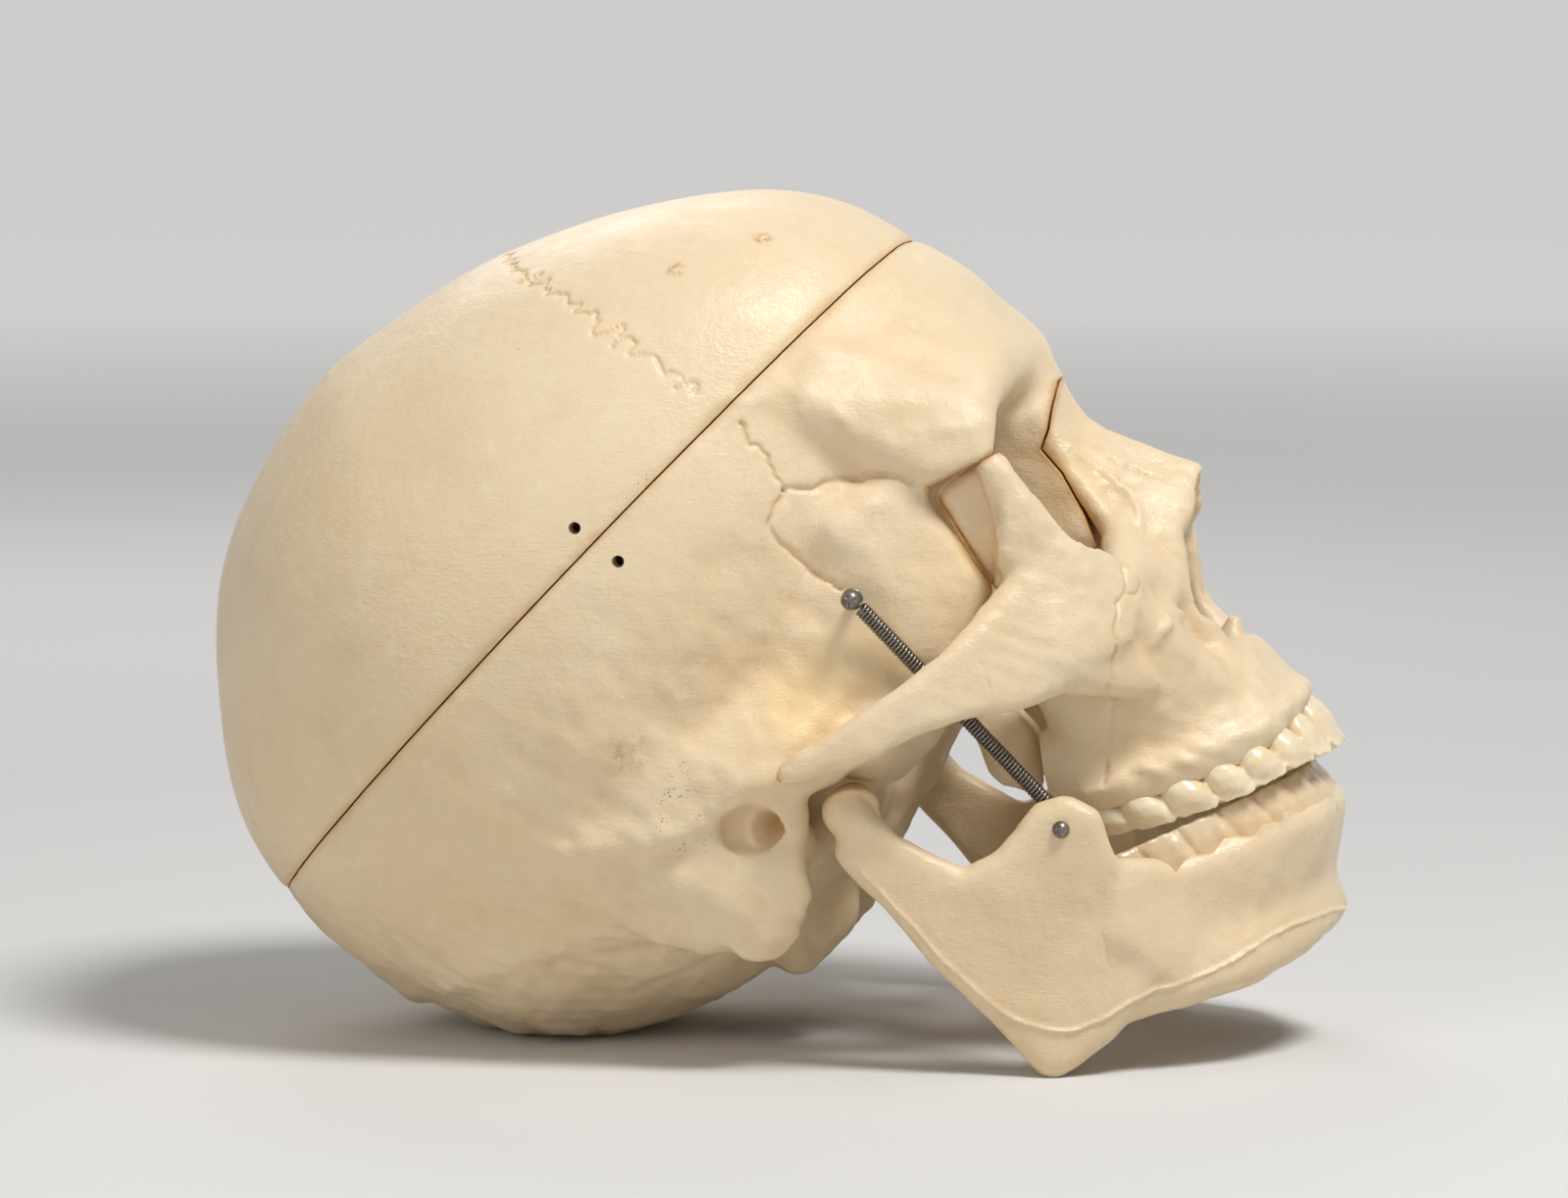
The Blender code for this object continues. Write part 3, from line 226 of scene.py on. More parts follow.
CHEEK_SUTURE = ((79.4, 34.0, -3.4), (77.3, 36.0, -6.7), (75.6, 38.0, -9.1), (73.0, 41.0, -10.1),
                (69.7, 42.0, -13.6), (66.5, 42.0, -16.4), (64.0, 41.0, -18.8))
CHEEK_TONGUE = ((75.1, 37.0, -9.8), (76.8, 36.0, -10.8), (79.5, 35.0, -10.8), (81.0, 34.0, -9.6),
                (81.7, 34.0, -7.5), (81.3, 34.0, -5.4), (79.6, 34.0, -3.8))
RECESS_RIM = ((44.0, 58.0, 5.2), (48.9, 56.0, 5.1), (53.4, 54.0, 4.5), (58.1, 52.0, 5.7), (62.4, 50.5, 8.3),
              (65.6, 49.5, 11.8), (69.0, 48.5, 17.7), (71.4, 48.0, 23.2), (72.6, 48.0, 28.0))
ARCH_SUTURE = ((50.6, 57.5, -2.6), (49.4, 57.5, -5.6), (47.1, 56.8, -10.3))
UPPER_JAW_SEAM = ((63.5, 33.0, -21.8), (59.4, 33.3, -26.7), (55.0, 33.3, -30.9), (50.4, 31.0, -35.2))
NOSE_CREASE = ((85.6, 6.0, 10.5), (87.6, 6.0, 7.7), (90.8, 5.0, 1.3))
TEAR_RIM = ((81.8, 9.4, 18.0), (84.4, 9.4, 10.0), (85.4, 10.6, 3.0), (83.0, 13.5, -2.5))
CHEEK_BROW = ((74.6, 34.0, -19.5), (77.0, 27.0, -18.0), (78.5, 22.0, -19.5))
SCRATCH_A = ((76.4, 23.0, -23.4), (74.4, 23.0, -26.4))
SCRATCH_B = ((77.4, 22.6, -24.4), (75.4, 22.6, -27.4))
OCCIPUT_FOLD_A = ((-42.0, 46.0, -1.0), (-38.2, 45.0, -3.3), (-29.0, 45.0, -12.0), (-20.0, 44.0, -19.6))
OCCIPUT_FOLD_B = ((-46.0, 36.0, -13.0), (-41.6, 38.0, -14.6), (-32.8, 38.0, -18.2), (-24.0, 38.0, -21.1))
NICK_A = ((-2.0, 64.0, 34.0), (-0.4, 64.0, 30.6))
NICK_B = ((10.0, 63.0, 27.0), (12.6, 63.0, 26.6))
NICK_C = ((55.0, 50.0, 52.0), (57.6, 50.0, 50.2))
NICK_D = ((-16.0, 66.0, 42.0), (-13.0, 66.0, 41.0))
SCRATCH_C = ((54.6, 30.0, -27.6), (51.8, 30.0, -27.4))
UPPER_LIP = ((86.6, 0.0, -45.4), (85.0, 9.0, -45.6), (80.6, 19.0, -45.8), (74.0, 26.0, -44.2),
             (65.0, 30.0, -41.0), (56.0, 32.0, -37.4), (47.0, 31.6, -34.4))
LOWER_LIP = ((77.0, 0.0, -64.2), (76.9, 10.0, -64.0), (75.5, 15.0, -63.3), (73.6, 17.0, -62.9),
             (71.8, 22.0, -61.3), (68.2, 25.0, -61.0), (64.7, 27.0, -59.8), (60.8, 29.0, -57.9),
             (56.7, 31.0, -57.1), (53.1, 32.0, -56.2), (47.4, 34.0, -54.9), (43.1, 36.0, -51.6))
JAW_RIDGE = ((66.0, 3.6, -82.7), (64.0, 16.0, -80.5), (56.9, 28.5, -77.2), (46.7, 36.0, -75.2),
             (38.5, 40.6, -71.9), (32.1, 44.5, -69.0), (24.2, 47.5, -67.6), (17.6, 49.4, -64.8),
             (12.2, 50.4, -57.4), (10.4, 51.0, -50.3), (9.6, 51.6, -43.3), (9.1, 52.0, -37.4),
             (8.9, 53.0, -29.7), (8.4, 54.4, -19.0))
JAW_MARK = ((34.6, 50.0, -56.0), (33.4, 49.0, -58.4), (31.9, 48.0, -60.2))

# Features pressed into the bone: line, wriggle, its length, width, depth (a ridge is negative), tint, which
# is painted shade in the groove
SUTURES = ((CORONAL_SUTURE, 2.1, 5.2, 0.50, 0.50, 0.60), (CORONAL_LOW, 0.5, 6.0, 0.45, 0.55, 0.45),
           (PTERION, 0.3, 9.0, 0.62, 0.80, 0.50), (SPHENOID_REAR, 0.3, 10.0, 0.62, 0.85, 0.50))
BONE_RIDGES = ((TEMPLE_LINE, 0.3, 12.0, 2.6, -0.70, 0.0), (EAR_RIDGE, 0.5, 9.0, 2.4, -1.00, 0.0),
               (MASTOID_EDGE, 0.3, 5.0, 1.8, -0.70, 0.0), (NECK_LINE, 0.8, 14.0, 3.2, -0.80, 0.0),
               (OCCIPUT_FOLD_A, 0.5, 9.0, 1.3, 0.55, 0.0), (OCCIPUT_FOLD_B, 0.5, 9.0, 1.3, 0.45, 0.0),
               (NICK_A, 0.1, 3.0, 0.5, -0.30, 0.0), (NICK_B, 0.1, 3.0, 0.45, 0.30, 0.0),
               (NICK_C, 0.1, 3.0, 0.5, 0.35, 0.0), (NICK_D, 0.1, 3.0, 0.5, -0.25, 0.0))
FACE_LINES = ((CHEEK_SUTURE, 0.25, 6.0, 0.42, 0.60, 0.45), (CHEEK_TONGUE, 0.1, 6.0, 0.40, 0.45, 0.25),
              (ARCH_SUTURE, 0.4, 4.0, 0.34, 0.30, 0.0), (UPPER_JAW_SEAM, 0.15, 9.0, 0.40, 0.45, 0.30),
              (NOSE_CREASE, 0.5, 4.0, 0.45, 0.35, 0.15), (TEAR_RIM, 0.2, 6.0, 0.9, -0.35, 0.0),
              (CHEEK_BROW, 0.2, 6.0, 1.6, -0.80, 0.0), (SCRATCH_A, 0.1, 2.0, 0.28, 0.25, 0.0),
              (SCRATCH_B, 0.1, 2.0, 0.28, 0.25, 0.0), (SCRATCH_C, 0.2, 2.0, 0.30, -0.25, 0.0),
              (UPPER_LIP, 0.25, 7.5, 1.9, -0.95, 0.0))
JAW_LINES = ((JAW_RIDGE, 0.1, 11.0, 0.45, -0.55, 0.0), (LOWER_LIP, 0.3, 6.0, 0.75, -0.75, 0.0),
             (JAW_MARK, 0.1, 4.0, 0.40, 0.30, 0.20))

# Soft dimples in the bone: x, out, z, radius and depth, where a bump's depth is negative
CRANIUM_DIMPLES = (
    (-4.6, 60.0, 2.0, 4.0, 1.8), (-1.2, 60.0, -0.6, 5.4, 2.0), (-16.0, 57.0, 5.6, 4.6, 1.3),
    (-24.0, 54.0, 3.6, 6.0, 2.0), (-34.0, 50.0, 9.0, 5.5, 1.2),
    (-40.8, 45.0, 11.0, 1.6, 0.9), (-46.2, 42.0, 9.8, 3.0, -0.9),
    (-11.6, 56.0, -9.6, 6.0, -0.8), (-20.0, 52.0, -13.5, 2.0, 0.7), (-13.6, 54.0, -15.0, 2.2, 0.5),
    (-16.0, 60.0, 13.0, 6.0, -0.7), (-27.0, 57.0, 20.0, 7.0, -0.8), (12.4, 62.0, 35.4, 7.0, -0.5),
    (30.7, 58.0, 41.1, 8.0, 0.6), (73.0, 47.0, 58.0, 3.0, -0.35), (70.0, 48.0, 50.0, 2.4, 0.3),
    (71.0, 46.0, 29.5, 1.0, 0.4), (66.0, 48.0, 33.5, 0.9, 0.35), (-17.1, 19.3, 118.2, 0.9, -0.7),
    (-58.0, 50.0, 40.0, 9.0, 0.6), (-20.0, 63.0, 40.0, 9.0, 0.7), (-4.0, 64.0, 26.0, 7.0, 0.5),
    (50.0, 46.0, 27.0, 6.0, 0.6), (-9.0, 60.0, 20.0, 1.2, -0.4), (4.0, 62.0, 30.0, 0.8, -0.3),
)
FACE_DIMPLES = (
    (83.4, 11.4, 12.0, 3.2, 0.9), (82.8, 12.4, 5.6, 3.4, 1.4), (79.8, 24.0, -13.7, 3.2, 1.3),
    (79.8, 34.0, -8.4, 2.4, -0.6), (77.0, 22.0, -25.5, 5.5, 1.4), (76.0, 19.0, -36.0, 3.0, -0.4),
    (71.1, 46.0, -0.4, 0.6, 0.5), (66.0, 47.0, -9.0, 6.0, -0.5), (90.4, 6.0, -1.4, 3.0, -0.3),
    (84.5, 3.0, -36.5, 2.6, 0.4), (62.0, 31.0, -36.0, 5.0, 0.5),
)
JAW_DIMPLES = (
    (38.9, 38.0, -69.0, 1.3, 0.5), (52.0, 32.0, -67.0, 7.0, 0.6), (24.0, 51.0, -50.0, 8.0, 0.5),
    (36.0, 50.0, -62.0, 6.0, 0.5), (68.0, 16.0, -74.0, 5.0, 0.5), (30.0, 50.5, -40.0, 6.0, -0.3),
)

# Spots on the right side, as in use, each x, out, z, radius and strength: stains and specks on the bone, and
# painted glow where light seems to come through the thin plastic
STAINS = ((51.1, 39.4, 89.8, 1.9, 1.0), (65.8, 30.8, 84.3, 1.9, 1.0), (-9.9, 63.0, 25.7, 4.0, 0.45),
          (-24.4, 56.0, 34.0, 3.0, 0.35), (66.0, 48.0, 38.0, 2.2, 0.30), (40.0, 50.0, 26.0, 5.0, 0.20),
          (74.0, 46.0, 13.0, 1.6, 0.35), (-30.0, 44.0, -8.0, 5.0, 0.25))
SPECKS = ((-7.8, 57.9, 13.8, 5.5, 1.0), (-11.2, 60.1, 8.6, 5.0, 1.0), (-4.0, 60.0, 18.0, 2.0, 0.8),
          (-24.0, 49.0, -11.0, 3.0, 0.8), (-37.1, 52.0, 73.0, 5.0, 0.7), (-31.9, 54.0, 73.5, 3.0, 0.7),
          (-79.5, 30.0, 66.0, 7.0, 0.7), (24.7, 62.2, 62.4, 1.6, 1.0))
GLOWS = ((22.0, 57.0, 12.0, 10.0, 0.9), (36.0, 50.0, 12.0, 8.0, 0.5), (61.0, 45.0, 14.0, 5.0, 0.4),
         (80.0, 12.0, 12.0, 7.0, 0.5), (14.0, 40.0, -12.0, 9.0, 0.7))


class SkullSizes(bpy.types.PropertyGroup):
    """Sizes that a user may change, in millimetres unless a unit says otherwise."""
    bone_grain: bpy.props.FloatProperty(
        name="Bone grain", description="Edge length of the braincase's mesh in mm", default=0.98,
        min=0.6, max=4.0)
    face_grain: bpy.props.FloatProperty(
        name="Face grain", description="Edge length of the face's and the jaw's mesh in mm", default=0.7,
        min=0.5, max=3.0)
    tooth_grain: bpy.props.FloatProperty(
        name="Tooth grain", description="Edge length of the teeth's mesh in mm", default=0.36,
        min=0.25, max=1.5)
    saw_bevel: bpy.props.FloatProperty(
        name="Saw bevel", description="Depth of the worn edge along the saw cut in mm", default=0.80,
        min=0.0, max=2.0)
    spring_turns: bpy.props.IntProperty(
        name="Spring turns", description="Turns of each jaw spring", default=72, min=10, max=90)
    wire_radius: bpy.props.FloatProperty(
        name="Wire radius", description="Radius of the spring wire in mm", default=0.31,
        min=0.15, max=0.5)
    spring_radius: bpy.props.FloatProperty(
        name="Spring radius", description="Outer radius of the jaw springs in mm", default=1.5,
        min=1.0, max=3.0)


class SkullColours(bpy.types.PropertyGroup):
    """Colours that a user may change."""
    ivory: bpy.props.FloatVectorProperty(
        name="Ivory", description="Colour of the moulded bone", subtype="COLOR", size=3,
        min=0.0, max=1.0, default=(0.80, 0.65, 0.44))
    # Painted shade: a darker, orange-brown ivory painted into hollows, grooves, the saw cut and the open
    # joints, where shade falls and light scatters through the thin plastic.
    warm_painted_shade: bpy.props.FloatVectorProperty(
        name="Warm ivory", description="Colour of the bone in grooves and hollows", subtype="COLOR",
        size=3, min=0.0, max=1.0, default=(0.64, 0.38, 0.15))
    upper_tooth: bpy.props.FloatVectorProperty(
        name="Upper teeth", description="Colour of the upper crowns", subtype="COLOR", size=3,
        min=0.0, max=1.0, default=(0.84, 0.72, 0.52))
    # Painted shade: the lower crowns are a darker, browner copy of the crown colour, standing in for the
    # shade under the upper crowns.
    lower_tooth_shaded: bpy.props.FloatVectorProperty(
        name="Lower teeth", description="Colour of the lower crowns", subtype="COLOR", size=3,
        min=0.0, max=1.0, default=(0.74, 0.59, 0.39))
    # Painted dark reflection: darker than bare steel, standing in for the dark surroundings that the springs
    # and screws reflect.
    steel_dark_reflection: bpy.props.FloatVectorProperty(
        name="Steel", description="Colour of the springs and screws", subtype="COLOR", size=3,
        min=0.0, max=1.0, default=(0.25, 0.225, 0.19))
    floor: bpy.props.FloatVectorProperty(
        name="Floor", description="Colour of the floor", subtype="COLOR", size=3, min=0.0, max=1.0,
        default=(0.74, 0.73, 0.71))


def sizes():
    """The sizes set in the sidebar."""
    return bpy.context.scene.skull_sizes


def colours():
    """The colours set in the sidebar."""
    return bpy.context.scene.skull_colours


def skull_to_row():
    """From the skull's frame in millimetres to the leaning pose in metres."""
    return (Matrix.Diagonal((MM, MM, MM, 1)) @ Matrix.Translation((STAND_X, 0, STAND_Z))
            @ Matrix.Rotation(-LEAN, 4, "Y"))


def smoothstep(t):
    """Ease from 0 to 1."""
    t = np.clip(t, 0.0, 1.0)
    return t * t * (3.0 - 2.0 * t)


def curve_through(points, steps, closed):
    """A smooth run of points through the given ones, as rows of a numpy array."""
    rows = np.array(points, dtype=float)
    count = len(rows)
    spans = count if closed else count - 1
    out = []
    for i in range(spans):
        before = rows[(i - 1) % count] if closed or i > 0 else rows[0]
        start = rows[i]
        end = rows[(i + 1) % count]
        after = rows[(i + 2) % count] if closed or i + 2 < count else rows[-1]
        for k in range(steps):
            t = k / steps
            out.append(0.5 * (2 * start + (end - before) * t
                              + (2 * before - 5 * start + 4 * end - after) * t * t
                              + (3 * start - before - 3 * end + after) * t ** 3))
    if not closed:
        out.append(rows[-1])
    return np.array(out)


def reach_by_angle(outline):
    """Angles and distances of an outline seen from the brain's centre."""
    dense = curve_through(outline, 8, True)
    dx = dense[:, 0] - BRAIN_CENTRE.x
    dz = dense[:, 1] - BRAIN_CENTRE.z
    angle = np.arctan2(dz, dx)
    order = np.argsort(angle)
    return angle[order], np.hypot(dx, dz)[order]


def braincase(directions, outline, wall):
    """Points of the braincase along each direction, wall deep inside its outer face."""
    angles, reaches = reach_by_angle(outline)
    rho = np.hypot(directions[:, 0], directions[:, 2])
    theta = np.arctan2(directions[:, 2], directions[:, 0])
    reach = np.interp(theta, angles, reaches, period=2 * math.pi) - wall
    keys = curve_through(EXTRA_BREADTH, 6, True)
    span = np.linspace(0.0, 2 * math.pi, len(keys), endpoint=False)
    extra = np.interp(theta % (2 * math.pi), span, keys[:, 1], period=2 * math.pi)
    half = WIDEST + extra * smoothstep(rho) - wall
    r = ((rho / reach) ** SQUARENESS
         + (np.abs(directions[:, 1]) / half) ** SQUARENESS) ** (-1.0 / SQUARENESS)
    points = directions * r[:, None] + np.array(BRAIN_CENTRE)
    pinch = smoothstep((points[:, 0] - 20.0) / 40.0) * smoothstep((68.0 - points[:, 2]) / 30.0)
    points[:, 1] *= 1.0 - TEMPLE_PINCH * pinch
    return points


def brain_cavity_outline():
    """The middle outline of the cavity: the outer one with a higher floor."""
    kept = [p for p in MIDLINE if p[1] > 40.0 or (p[0] < -30.0 and p[1] > -20.0)]
    angle_of = {}
    for x, z in kept:
        angle_of[(x, z)] = math.atan2(z - BRAIN_CENTRE.z, x - BRAIN_CENTRE.x)
    for x, z in BRAIN_FLOOR:
        away = Vector((x - BRAIN_CENTRE.x, z - BRAIN_CENTRE.z))
        grown = away * ((away.length + WALL) / away.length)
        point = (grown.x + BRAIN_CENTRE.x, grown.y + BRAIN_CENTRE.z)
        angle_of[point] = math.atan2(grown.y, grown.x)
    return sorted(angle_of, key=angle_of.get)


def egg_mesh(subdivisions, outline, wall):
    """A closed mesh of the braincase."""
    bm = bmesh.new()
    bmesh.ops.create_icosphere(bm, subdivisions=subdivisions, radius=1.0)
    directions = np.array([v.co.normalized() for v in bm.verts])
    for vert, point in zip(bm.verts, braincase(directions, outline, wall)):
        vert.co = point
    return bm


def ball_points(detail):
    """The points of a unit ball."""
    bm = bmesh.new()
    bmesh.ops.create_icosphere(bm, subdivisions=detail, radius=1.0)
    points = [v.co.copy() for v in bm.verts]
    bm.free()
    return points


BALL = ball_points(3)


def add_hull(bm, balls, side):
    """Add the convex hull of the balls on one side to bm."""
    verts = []
    for x, out, z, radius in balls:
        centre = Vector((x, out * side, z))
        for step in BALL:
            verts.append(bm.verts.new(centre + step * radius))
    result = bmesh.ops.convex_hull(bm, input=verts, use_existing_faces=False)
    spare = [g for g in result["geom_interior"] + result["geom_unused"]
             if isinstance(g, bmesh.types.BMVert)]
    bmesh.ops.delete(bm, geom=list(set(spare)), context="VERTS")


def add_both(bm, *balls):
    """Add the hull of the balls on the right and on the left."""
    add_hull(bm, balls, RIGHT)
    add_hull(bm, balls, LEFT)


def add_middle(bm, *balls):
    """Add the hull of the balls together with their mirror images."""
    twins = [(x, -out, z, radius) for x, out, z, radius in balls if out]
    add_hull(bm, list(balls) + twins, LEFT)


def add_chain(bm, *sections):
    """Add hulls between each section, a tuple of balls, and the next, on both sides."""
    for first, second in zip(sections, sections[1:]):
        add_both(bm, *first, *second)


def object_of(bm, name="work"):
    """Turn a bmesh into a linked object with outward faces."""
    bmesh.ops.recalc_face_normals(bm, faces=bm.faces)
    if bm.calc_volume(signed=True) < 0:
        bmesh.ops.reverse_faces(bm, faces=bm.faces)
    mesh = bpy.data.meshes.new(name)
    bm.to_mesh(mesh)
    bm.free()
    obj = bpy.data.objects.new(name, mesh)
    bpy.context.scene.collection.objects.link(obj)
    return obj


def apply_modifiers(obj):
    """Replace an object's mesh by its evaluated one and drop the modifiers."""
    graph = bpy.context.evaluated_depsgraph_get()
    mesh = bpy.data.meshes.new_from_object(obj.evaluated_get(graph))
    obj.modifiers.clear()
    obj.data = mesh


def remesh(obj, grain, smoothing):
    """Union the shells of an object on an even grid and round their creases."""
    union = obj.modifiers.new("Union", "REMESH")
    union.mode = "VOXEL"
    union.voxel_size = grain
    smooth = obj.modifiers.new("Round", "SMOOTH")
    smooth.factor = 0.5
    smooth.iterations = smoothing
    apply_modifiers(obj)


def cut(obj, cutter, operation="DIFFERENCE"):
    """Apply one Boolean with the cutter, which is then removed."""
    boolean = obj.modifiers.new("Cut", "BOOLEAN")
    boolean.operation = operation
    boolean.object = cutter
    boolean.solver = "EXACT"
    before = len(obj.data.vertices)
    apply_modifiers(obj)
    if before > MANY_POINTS and len(obj.data.vertices) < before / 5:
        raise RuntimeError("A cut lost most of a piece")
    bpy.data.objects.remove(cutter, do_unlink=True)


def copy_of(obj):
    """A linked copy with its own mesh."""
    twin = obj.copy()
    twin.data = obj.data.copy()
    bpy.context.scene.collection.objects.link(twin)
    return twin


def box(x_range, y_range, z_range):
    """A box between the given limits."""
    bm = bmesh.new()
    bmesh.ops.create_cube(bm, size=1.0)
    for vert in bm.verts:
        vert.co.x = x_range[0] if vert.co.x < 0 else x_range[1]
        vert.co.y = y_range[0] if vert.co.y < 0 else y_range[1]
        vert.co.z = z_range[0] if vert.co.z < 0 else z_range[1]
    return object_of(bm)


def prism(outline, y_range):
    """A side-view outline pulled out from one y to another."""
    bm = bmesh.new()
    face = bm.faces.new([bm.verts.new((x, y_range[0], z)) for x, z in outline])
    pulled = bmesh.ops.extrude_face_region(bm, geom=[face])
    moved = [g for g in pulled["geom"] if isinstance(g, bmesh.types.BMVert)]
    bmesh.ops.translate(bm, verts=moved, vec=(0, y_range[1] - y_range[0], 0))
    return object_of(bm)


def shifted(points, distance):
    """An open line of (x, z) moved sideways, to its right when distance is positive."""
    out = []
    for i, point in enumerate(points):
        before = Vector(points[max(i - 1, 0)])
        after = Vector(points[min(i + 1, len(points) - 1)])
        along = (after - before).normalized()
        out.append(tuple(Vector(point) + Vector((along.y, -along.x)) * distance))
    return out


def face_side(seam, distance):
    """The closed outline in front of and below a joint, moved towards the base by a distance."""
    line = shifted(seam, distance)
    return line + [(line[-1][0], -120.0), (140.0, -120.0), (140.0, line[0][1])]


def base_side(seam, distance):
    """The closed outline behind and above a joint, moved towards the face by a distance."""
    line = shifted(seam, -distance)
    return line + [(line[-1][0], -120.0), (-140.0, -120.0), (-140.0, 140.0), (line[0][0], 140.0)]


def saw_plane():
    """A point of the saw cut and the direction in which the cap lifts off."""
    dx = SAW_FRONT[0] - SAW_BACK[0]
    dz = SAW_FRONT[1] - SAW_BACK[1]
    slope = math.atan2(dz, dx)
    middle = Vector(((SAW_FRONT[0] + SAW_BACK[0]) / 2, 0, (SAW_FRONT[1] + SAW_BACK[1]) / 2))
    return middle, Vector((-math.sin(slope), 0, math.cos(slope)))


def coordinates(obj):
    """The points of an object's mesh as rows of a numpy array."""
    co = np.empty(len(obj.data.vertices) * 3)
    obj.data.vertices.foreach_get("co", co)
    return co.reshape(-1, 3)


def set_coordinates(obj, co):
    """Write the points of an object's mesh."""
    obj.data.vertices.foreach_set("co", np.asarray(co, dtype=float).ravel())
    obj.data.update()


def normals(obj):
    """The point normals of an object's mesh as rows of a numpy array."""
    out = np.empty(len(obj.data.vertices) * 3)
    obj.data.vertex_normals.foreach_get("vector", out)
    return out.reshape(-1, 3)


def surface_tree(obj):
    """A search tree of an object's faces."""
    bm = bmesh.new()
    bm.from_mesh(obj.data)
    tree = BVHTree.FromBMesh(bm)
    bm.free()
    return tree


def lumps(co, spacing, seed):
    """A smooth random height at each point, about -1 to 1, with lumps at the given spacing."""
    rng = np.random.default_rng(seed)
    way = rng.normal(size=(WAVES, 3))
    way /= np.linalg.norm(way, axis=1)[:, None]
    way *= (math.pi / spacing * rng.uniform(0.6, 1.5, WAVES))[:, None]
    phase = rng.uniform(0.0, 2 * math.pi, WAVES)
    return np.sin(co @ way.T + phase).sum(1) / math.sqrt(WAVES / 2) / 1.6


def meander(points, swing, period):
    """A dense line through the points, wriggling sideways in the side view as a suture does."""
    line = curve_through(points, 24, False)
    step = np.linalg.norm(np.diff(line, axis=0), axis=1)
    along = np.concatenate([[0.0], np.cumsum(step)])
    at = np.linspace(0.0, along[-1], int(along[-1] / LINE_STEP) + 2)
    dense = np.stack([np.interp(at, along, line[:, k]) for k in range(3)], axis=1)
    if swing:
        way = np.gradient(dense, axis=0)
        flat = np.stack([way[:, 0], way[:, 2]], axis=1)
        flat /= np.maximum(np.linalg.norm(flat, axis=1), 1e-9)[:, None]
        phase = 2 * math.pi * at / period
        wave = np.sin(phase + 1.3 * np.sin(phase * 0.37)) + 0.45 * np.sin(phase * 2.3 + 1.0)
        wave *= 0.65 + 0.35 * np.sin(phase * 0.21 + 0.6)
        slip = 0.22 * np.cos(phase * 1.7)
        dense[:, 0] += swing * (wave * -flat[:, 1] + slip * flat[:, 0])
        dense[:, 2] += swing * (wave * flat[:, 0] + slip * flat[:, 1])
    return dense


def laid(tree, features):
    """Each feature's line laid on the left surface, with its width, depth and painted shade."""
    out = []
    for points, swing, period, width, depth, shade_tint in features:
        rows = [tree.find_nearest(Vector(spot))[0] for spot in meander(points, swing, period)]
        out.append((np.array(rows), width, depth, shade_tint))
    return out


def mirrored(co):
    """The points with the right side folded onto the left."""
    return np.abs(co * (0, 1, 0)) + co * (1, 0, 1)


def away_from(co, line, reach):
    """Distance of each point from a dense line, or reach where it is farther."""
    low = line.min(0) - reach
    high = line.max(0) + reach
    near = np.nonzero(((co > low) & (co < high)).all(1))[0]
    out = np.full(len(co), float(reach))
    for start in range(0, len(near), 4000):
        part = near[start:start + 4000]
        square = ((co[part] ** 2).sum(1)[:, None] + (line ** 2).sum(1)[None, :]
                  - 2.0 * co[part] @ line.T)
        out[part] = np.minimum(reach, np.sqrt(np.maximum(square.min(1), 0.0)))
    return out


def refine_near(obj, lines, reach):
    """Halve the edges of an object near the lines."""
    co = mirrored(coordinates(obj))
    near = np.zeros(len(co), dtype=bool)
    for line, _, _, _ in lines:
        near |= away_from(co, line, reach) < reach
    bm = bmesh.new()
    bm.from_mesh(obj.data)
    bm.verts.ensure_lookup_table()
    edges = [e for e in bm.edges if near[e.verts[0].index] and near[e.verts[1].index]]
    bmesh.ops.subdivide_edges(bm, edges=edges, cuts=1, use_grid_fill=True)
    bmesh.ops.triangulate(bm, faces=[f for f in bm.faces if len(f.verts) > 4])
    bm.to_mesh(obj.data)
    bm.free()


def press(obj, lines):
    """Press each line into an object as a worn groove, or raise it as a ridge."""
    co = coordinates(obj)
    normal = normals(obj)
    wear = 1.0 + 0.35 * lumps(co, 2.6, 11)
    fold = mirrored(co)
    for line, width, depth, _ in lines:
        distance = away_from(fold, line, 3 * width)
        co = co - normal * (depth * wear * np.exp(-(distance / width) ** 2))[:, None]
    set_coordinates(obj, co)


def dimple(obj, spots):
    """Sink each spot of x, out, z, radius and depth, or raise it where the depth is negative."""
    co = coordinates(obj)
    normal = normals(obj)
    fold = mirrored(co)
    push = np.zeros(len(co))
    for x, out, z, radius, depth in spots:
        push += depth * np.exp(-((fold - (x, out, z)) ** 2).sum(1) / radius ** 2)
    set_coordinates(obj, co - normal * push[:, None])


def sink_above(obj, rim, depth, slope):
    """Sink the outer face above a rim of (x, out, z), with a crisp step along the rim."""
    co = coordinates(obj)
    outward = normals(obj)[:, 1] * np.sign(co[:, 1])
    line = curve_through(rim, 12, False)
    order = np.argsort(line[:, 0])
    line = line[order]
    over = co[:, 2] - np.interp(co[:, 0], line[:, 0], line[:, 2])
    flat = line * (1, 0, 1)
    distance = away_from(co * (1, 0, 1), flat, slope)
    inside = (over > 0) & (co[:, 0] > line[0, 0]) & (co[:, 0] < line[-1, 0]) & (np.abs(co[:, 1]) > 38.0)
    sunk = depth * smoothstep(distance / slope) * inside * smoothstep(outward / 0.5)
    co[:, 1] -= np.sign(co[:, 1]) * sunk
    set_coordinates(obj, co)


def roughen(obj, amount, spacing, seed, weight=1.0):
    """Raise and sink a surface in smooth random lumps."""
    co = coordinates(obj)
    height = amount * lumps(co, spacing, seed) * weight
    set_coordinates(obj, co + normals(obj) * np.reshape(height, (-1, 1)))


